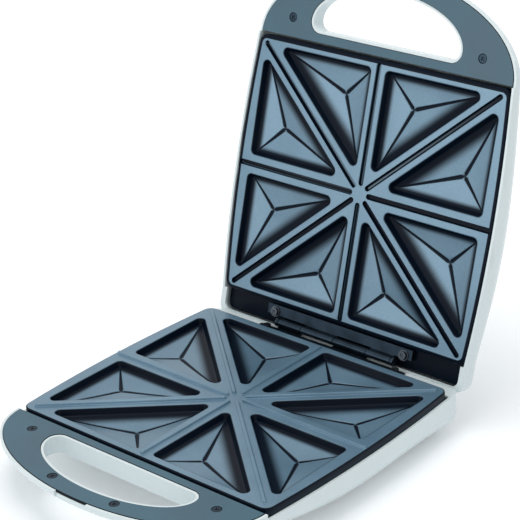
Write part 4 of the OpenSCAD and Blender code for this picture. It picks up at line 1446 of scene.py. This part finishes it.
    def sink_pocket(
        self, bm: BMesh, ring: list[BMVert], pocket: Pocket, sx: int, sy: int
    ) -> None:
        """Models a pocket below its lip.

        Args:
            bm: Mesh of the plate.
            ring: Lip of the pocket at the land.
            pocket: The pocket.
            sx: Side of the hub, -1 or 1.
            sy: End of the hub, -1 or 1.
        """
        turns = quarter_turn(self.lip_steps)
        # Shade is painted on the lip, growing to full on the wall and at the lowest point
        for step, (sine, cosine) in enumerate(turns[1:], 1):
            outline = pocket.outline(self.lip_r * (1 - sine))
            ring = grow_ring(bm, ring, self.place(outline, sx, sy, self.lip_r * (cosine - 1)))
            self.mark(bm, ring, ease(self.lip_haste * step / self.lip_steps))
        for sine, cosine in turns:
            outline = pocket.outline(-self.draft - self.foot_r * (1 - cosine))
            z = self.foot_r * (1 - sine) - self.wall_d
            ring = grow_ring(bm, ring, self.place(outline, sx, sy, z))
            self.mark(bm, ring, 1.0)
        self.shade_floor(bm, ring, 0.0)
        for share in self.floor_shares:
            deep = self.wall_d + (self.apex_d - self.wall_d) * (1 - (1 - share) ** self.dish)
            flat = pocket.floor(self.draft + self.foot_r, share, self.valley(share))
            points = self.place(flat, sx, sy, -deep)
            sink = self.valley_d * ease(self.valley_haste * share)
            for k, point in enumerate(points):
                across = k % (pocket.corner_steps + 1) / pocket.corner_steps
                point.z -= sink * ease(self.valley_rise * min(across, 1 - across))
            ring = grow_ring(bm, ring, points)
            self.shade_floor(bm, ring, share)
        tip = self.place([pocket.centre], sx, sy, -self.apex_d - self.valley_d)
        last = grow_ring(bm, ring, tip * len(ring))
        self.mark(bm, last, 1.0)
        bmesh.ops.pointmerge(bm, verts=last, merge_co=tip[0])

    def valley(self, share: float) -> float:
        """Half width of a valley at a share of its way down, widest at the lowest point."""
        return (self.valley_w0 + (self.valley_w1 - self.valley_w0) * share) / 2

    def shade_floor(self, bm: BMesh, ring: Sequence[BMVert], share: float) -> None:
        """Paints shade on the valleys and on the floor below each wall, most below the diagonal
        one.

        Args:
            bm: Mesh of the plate.
            ring: Ring of the floor, corner by corner.
            share: Share of the way from the foot of the wall to the lowest point.
        """
        walls = [1 - ease((share - hold) / (end - hold)) for hold, end in self.floor_shade]
        per_corner = len(ring) // 3
        for i in range(3):
            corner = ring[i * per_corner:(i + 1) * per_corner]
            self.mark(bm, corner[1:-1], 1.0)
            self.mark(bm, corner[:1], walls[i - 1])
            self.mark(bm, corner[-1:], walls[i])

    def sink_slot(self, bm: BMesh, ring: list[BMVert], ray: tuple[float, float, float]) -> None:
        """Models one groove or ridge from its outline on the land.

        Args:
            bm: Mesh of the plate.
            ring: Outline on the land.
            ray: Angle, start and end.
        """
        if self.sealing is Sealing.GROOVES:
            half_w, deep, rings = self.groove_w / 2, -self.groove_d, self.groove_rings
        else:
            half_w, deep, rings = self.ridge_w / 2, self.ridge_h, self.ridge_rings
        for inset, level, shade in rings:
            ring = grow_ring(bm, ring, self.slot(ray, half_w * (1 - inset), deep * level))
            self.mark(bm, ring, shade)
        cap(bm, ring)

    def blank(self) -> BMesh:
        """Starts a mesh whose corners can take painted shade.

        Returns:
            An empty mesh.
        """
        bm = bmesh.new()
        bm.verts.layers.float.new(SHADE)
        return bm

    def skirt(self) -> list[tuple[float, float, float]]:
        """Rings from the land over the plate's edge, down its rim and up inside it.

        Returns:
            For each ring how far it's grown by, its level and how much shade is painted on it.
        """
        rings = [(self.tone_w - self.edge_w, -self.tone_drop, 1.0)]
        rings += [(self.edge_w * (sine - 1), self.edge_drop * (cosine - 1), 1.0)
                  for sine, cosine in quarter_turn(self.lip_steps + 1)[1:]]
        low, edge, inner = -self.rim_depth, self.rim_edge, -self.rim_t
        rim = ((0, low + edge), (-edge, low), (inner + edge, low), (inner, low + edge),
               (inner, -self.land_t))
        return rings + [(grow, z, self.rim_tone) for grow, z in rim]

    def form(self) -> BMesh:
        """Models the whole casting, its land at z = 0.

        Returns:
            A new closed mesh.
        """
        s = self.sizes
        bm = self.blank()
        land = start_ring(bm, lift(s.plate_outline(-self.edge_w), 0))
        quarters = [(sx, sy, p) for sx in (-1, 1) for sy in (-1, 1) for p in self.pockets()]
        lips = [start_ring(bm, self.place(p.outline(self.lip_r), sx, sy, 0))
                for sx, sy, p in quarters]
        rays = self.rays() if self.sealing is Sealing.RIDGES else []
        foot = self.ridge_w / 2 + self.lip_flare
        slots = [start_ring(bm, self.slot(ray, foot, 0)) for ray in rays]
        edges = [e for ring in [land, *lips, *slots] for e in ring_edges(ring)]
        bmesh.ops.triangle_fill(bm, use_beauty=True, edges=edges, normal=(0, 0, 1))
        for (sx, sy, pocket), ring in zip(quarters, lips):
            self.sink_pocket(bm, ring, pocket, sx, sy)
        for ray, ring in zip(rays, slots):
            self.sink_slot(bm, ring, ray)
        ring = land
        for grow, z, shade in self.skirt():
            ring = grow_ring(bm, ring, lift(s.plate_outline(grow), z))
            self.mark(bm, ring, shade)
        cups = [start_ring(bm, self.place(p.outline(self.pocket_t), sx, sy, -self.land_t))
                for sx, sy, p in quarters]
        edges = [e for loop in [ring, *cups] for e in ring_edges(loop)]
        bmesh.ops.triangle_fill(bm, use_beauty=True, edges=edges, normal=(0, 0, -1))
        for (sx, sy, pocket), cup in zip(quarters, cups):
            under = -self.wall_d - self.pocket_t
            outline = pocket.outline(self.pocket_t - self.draft)
            cup = grow_ring(bm, cup, self.place(outline, sx, sy, under))
            tip = self.place([pocket.centre], sx, sy, -self.apex_d - self.pocket_t)
            last = grow_ring(bm, cup, tip * len(cup))
            bmesh.ops.pointmerge(bm, verts=last, merge_co=tip[0])
        return bm

    def grooves(self) -> BMesh:
        """Everything that is sunk into the land after casting.

        Returns:
            A closed mesh to cut with, carrying the grooves' painted shade.
        """
        bm = self.blank()
        flare = self.groove_w / 2 + self.groove_flare
        for ray in self.rays():
            top = start_ring(bm, self.slot(ray, flare, self.groove_d))
            cap(bm, top)
            self.sink_slot(bm, grow_ring(bm, top, self.slot(ray, flare, 0)), ray)
        return bm

    def tone_cuts(self, thing: bpy.types.Object) -> None:
        """Sets the painted shade of the corners that cuts and joins leave behind.

        Args:
            thing: The plate, its land at z = 0.
        """
        tones = thing.data.attributes[SHADE].data
        for vert, tone in zip(thing.data.vertices, tones):
            behind = vert.co.y > self.behind_y
            if vert.co.z > -self.land_slack:
                tone.value = 0.0
            elif tone.value == 0 and (behind or vert.co.z > -self.edge_w):
                tone.value = 1.0

    def flange(self) -> BMesh:
        """Part of the casting that stands out behind the plate.

        Returns:
            A closed mesh to join on.
        """
        if self.half is Half.LID:
            outlines = [rounded_rectangle(self.flange_half_w, *self.flange_ys, self.flange_r)]
            low, high = self.flange_zs
        else:
            outlines = [rectangle(x, self.tab_half_w, *self.tab_ys)
                        for x in (-self.tab_x, self.tab_x)]
            low, high = self.tab_zs
        bm = prisms(*outlines, low=low, high=high)
        # The flange takes full painted shade, near black in the hinge channel
        bm.verts.layers.float.new(SHADE)
        self.mark(bm, bm.verts, 1.0)
        return bm

    def build(self, shop: Workshop, placement: Placement, node: str) -> None:
        """Models the plate and puts it in place of its node.

        Args:
            shop: Workshop that finishes it.
            placement: Way to the model's frame.
            node: Name of the CAD node.
        """
        thing = to_object(node + "_casting", self.form())
        carve(thing, self.flange(), "UNION")
        if self.sealing is Sealing.GROOVES:
            carve(thing, self.grooves())
        self.tone_cuts(thing)
        soften(thing, 0, self.sharp_from)
        for face in thing.data.polygons:
            if abs(face.normal.z) > self.level_from:
                face.use_smooth = False
        lower = Matrix.Translation((0, 0, self.sizes.land_z))
        settle(thing, placement.matrix(self.half) @ lower)
        shop.hand_over(thing, node)


# ---- Hard pieces ----------------------------------------------------------------------


@dataclass
class Trim:
    """Slate cover of a handle, shade painted where its edges drop into its seat and round its
    screws.
    """

    half: Half
    sizes: Sizes = field(default_factory=Sizes)
    edge_w: float = 1.5
    edge_steps: int = 3
    # A corner no further below the trim's face than this lies on it
    face_t: float = 0.02

    def build(self, shop: Workshop, placement: Placement, node: str) -> None:
        """Models the trim and puts it in place of its node.

        Args:
            shop: Workshop that finishes it.
            placement: Way to the model's frame.
            node: Name of the CAD node.
        """
        thing = shop.remodel(node, self.edge_w, self.edge_steps)
        home = placement.matrix(self.half).inverted()
        face_z = self.sizes.trim_z - self.face_t
        # Shade is painted on every corner below the trim's face: its edges and screw recesses
        tones = thing.data.attributes.new(SHADE, "FLOAT", "POINT").data
        for vert, tone in zip(thing.data.vertices, tones):
            tone.value = 0.0 if (home @ vert.co).z > face_z else 1.0
        shop.hand_over(thing, node)


@dataclass
class Hardware:
    """Hinge, latch, screws, feet, gland and lenses, their edges softened."""

    # Width of each node's softened edges in millimetres
    edges: dict[str, float] = field(default_factory=lambda: {
        "latch": 0.5,
        "rubber_feet": 0.6,
        "cord_gland": 0.35,
        "hinge_base_leaf": 0.25,
        "hinge_lid_leaf": 0.25,
        "hinge_pin": 0.4,
        "hinge_lid_washers": 0.15,
        "hinge_lid_screws": 0.2,
        "hinge_base_screws": 0.2,
        "base_trim_screws": 0.15,
        "lid_trim_screws": 0.15,
        "latch_pin": 0.15,
        "power_lens": 0.4,
        "ready_lens": 0.4,
    })

    def build(self, shop: Workshop) -> None:
        """Remodels each piece from its node."""
        for node, width in self.edges.items():
            shop.refine(node, width)


# ---- Studio ---------------------------------------------------------------------------


@dataclass
class Lamp:
    """Soft square white lamp that looks at the toaster, in metres and watts."""

    name: str
    place: tuple[float, float, float]
    size: float
    power: float


@dataclass
class Studio:
    """Pale floor, soft lamps and the camera. Sizes are in metres."""

    target: Vector = field(default_factory=lambda: Vector((0, 0, 0.12)))
    floor_half: float = 6.0
    floor_colour: str = "#f3f6f8"
    # How much brighter the floor looks than its light makes it, near the toaster and far off
    floor_lift: tuple[float, float] = (0.17, 0.45)
    # Distances from the middle between which that changes
    lift_from: float = 0.2
    lift_to: float = 0.75
    ambient: float = 0.55
    camera_place: Vector = field(
        default_factory=lambda: Vector((0.841176, -0.956885, 0.733887))
    )
    # Where the camera stands as seen from the toaster, and its roll, in degrees
    azimuth: float = 40.931
    elevation: float = 24.573
    roll: float = -1.863
    lens_mm: float = 128.94
    sensor_mm: float = 36.0
    clip_end: float = 50.0
    lamps: list[Lamp] = field(default_factory=lambda: [
        Lamp("key", (-0.05, -0.15, 1.9), 1.0, 12.0),
        Lamp("fill", (-0.7, -1.5, 0.6), 1.0, 6.0),
        Lamp("side", (1.6, -0.5, 0.6), 0.8, 2.0),
        Lamp("back", (0.4, 1.1, 1.6), 1.0, 4.0),
    ])

    def camera(self) -> None:
        """Sets the camera."""
        data = bpy.data.cameras.new("camera")
        data.sensor_width = self.sensor_mm
        data.lens = self.lens_mm
        data.clip_end = self.clip_end
        rig = bpy.data.objects.new("camera", data)
        bpy.context.scene.collection.objects.link(rig)
        az, el = math.radians(self.azimuth), math.radians(self.elevation)
        back = Vector((math.sin(az) * math.cos(el), -math.cos(az) * math.cos(el), math.sin(el)))
        right = (-back).cross(Vector((0, 0, 1))).normalized()
        up = right.cross(-back)
        level = Matrix((right, up, back)).transposed().to_4x4()
        turn = Matrix.Rotation(math.radians(self.roll), 4, "Z")
        rig.matrix_world = Matrix.Translation(self.camera_place) @ level @ turn
        bpy.context.scene.camera = rig

    def lights(self) -> None:
        """Sets the lamps and the world."""
        for lamp in self.lamps:
            data = bpy.data.lights.new(lamp.name, "AREA")
            data.size = lamp.size
            data.energy = lamp.power
            rig = bpy.data.objects.new(lamp.name, data)
            bpy.context.scene.collection.objects.link(rig)
            aim = (self.target - Vector(lamp.place)).to_track_quat("-Z", "Y")
            rig.matrix_world = Matrix.Translation(lamp.place) @ aim.to_matrix().to_4x4()
        world = bpy.data.worlds.new("studio")
        bpy.context.scene.world = world
        world.use_nodes = True
        tree = world.node_tree
        tree.nodes.clear()
        strength = add_node(
            tree, "ShaderNodeMapRange", {"To Min": self.ambient, "To Max": 1.0},
            {"Value": self.seen(tree)},
        ).outputs["Result"]
        sky = add_node(
            tree, "ShaderNodeBackground", {"Color": linear(WHITE)}, {"Strength": strength}
        ).outputs["Background"]
        add_node(tree, "ShaderNodeOutputWorld", links={"Surface": sky})

    def seen(self, tree: bpy.types.NodeTree) -> bpy.types.NodeSocket:
        """Tells the rays that show the background from those that light the object.

        Args:
            tree: Tree of the world or of the floor.

        Returns:
            1 for camera, glossy and transmission rays.
        """
        path = add_node(tree, "ShaderNodeLightPath").outputs
        two = add_node(
            tree, "ShaderNodeMath", None,
            {0: path["Is Camera Ray"], 1: path["Is Glossy Ray"]}, operation="MAXIMUM",
        ).outputs["Value"]
        return add_node(
            tree, "ShaderNodeMath", None, {0: two, 1: path["Is Transmission Ray"]},
            operation="MAXIMUM",
        ).outputs["Value"]

    def floor(self) -> None:
        """Lays the floor. It's a little brighter to the eye than its light makes it."""
        bm = bmesh.new()
        bmesh.ops.create_grid(bm, x_segments=1, y_segments=1, size=self.floor_half)
        floor = to_object("floor", bm)
        material = bpy.data.materials.new("paper")
        material.use_nodes = True
        tree = material.node_tree
        tree.nodes.clear()
        paper = add_node(
            tree, "ShaderNodeBsdfDiffuse", {"Color": linear(self.floor_colour)}
        ).outputs["BSDF"]
        where = add_node(tree, "ShaderNodeTexCoord").outputs["Object"]
        away = add_node(
            tree, "ShaderNodeVectorMath", None, {0: where}, operation="LENGTH"
        ).outputs["Value"]
        near, far = self.floor_lift
        lift = add_node(
            tree, "ShaderNodeMapRange",
            {"From Min": self.lift_from, "From Max": self.lift_to, "To Min": near, "To Max": far},
            {"Value": away}, interpolation_type="SMOOTHSTEP",
        ).outputs["Result"]
        glow = add_node(
            tree, "ShaderNodeMath", None, {0: self.seen(tree), 1: lift}, operation="MULTIPLY",
        ).outputs["Value"]
        lifted = add_node(
            tree, "ShaderNodeEmission", {"Color": linear(WHITE)}, {"Strength": glow}
        ).outputs["Emission"]
        both = add_node(tree, "ShaderNodeAddShader", None, {0: paper, 1: lifted})
        add_node(tree, "ShaderNodeOutputMaterial", links={"Surface": both.outputs["Shader"]})
        floor.data.materials.append(material)
        floor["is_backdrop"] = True

    def build(self) -> None:
        """Sets up the whole studio."""
        self.camera()
        self.lights()
        self.floor()
        bpy.context.scene.view_settings.view_transform = "Standard"


def main() -> None:
    """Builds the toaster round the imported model."""
    logging.basicConfig(level=logging.INFO, format="%(name)s: %(message)s")
    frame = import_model()
    cad_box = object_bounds()
    sizes = Sizes()
    placement = Placement(sizes, frame)
    Studio().build()
    shop = Workshop(frame)
    pieces = {
        "base_shell": BaseCasing(
            Half.BASE, rear_y=12.5, rear_r=12, depth_mid=37, mid_y=sizes.mid_y, depth_tip=10,
            depth_rear=37, rim_drop=6.5, notch_depth=2.3,
        ),
        "lid_shell": LidCasing(
            Half.LID, rear_y=22.4, rear_r=10, depth_mid=34, mid_y=sizes.mid_y + 22,
            depth_tip=11, depth_rear=21, rim_drop=0, notch_depth=7.2,
        ),
        "lower_plate": CookingPlate(Half.BASE, Sealing.RIDGES, edge_w=1.2, edge_drop=1.0),
        "upper_plate": CookingPlate(Half.LID, Sealing.GROOVES, edge_w=3.6, edge_drop=1.3),
        "base_trim": Trim(Half.BASE),
        "lid_trim": Trim(Half.LID),
    }
    for node, piece in pieces.items():
        piece.build(shop, placement, node)
    Hardware().build(shop)
    shop.carry_over()
    boxes = {"cad": cad_box, "visual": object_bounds()}
    plain = {name: [list(corner) for corner in box] for name, box in boxes.items()}
    for name, box in plain.items():
        LOG.info("%s box %s", name, box)


if __name__ == "__main__":
    main()
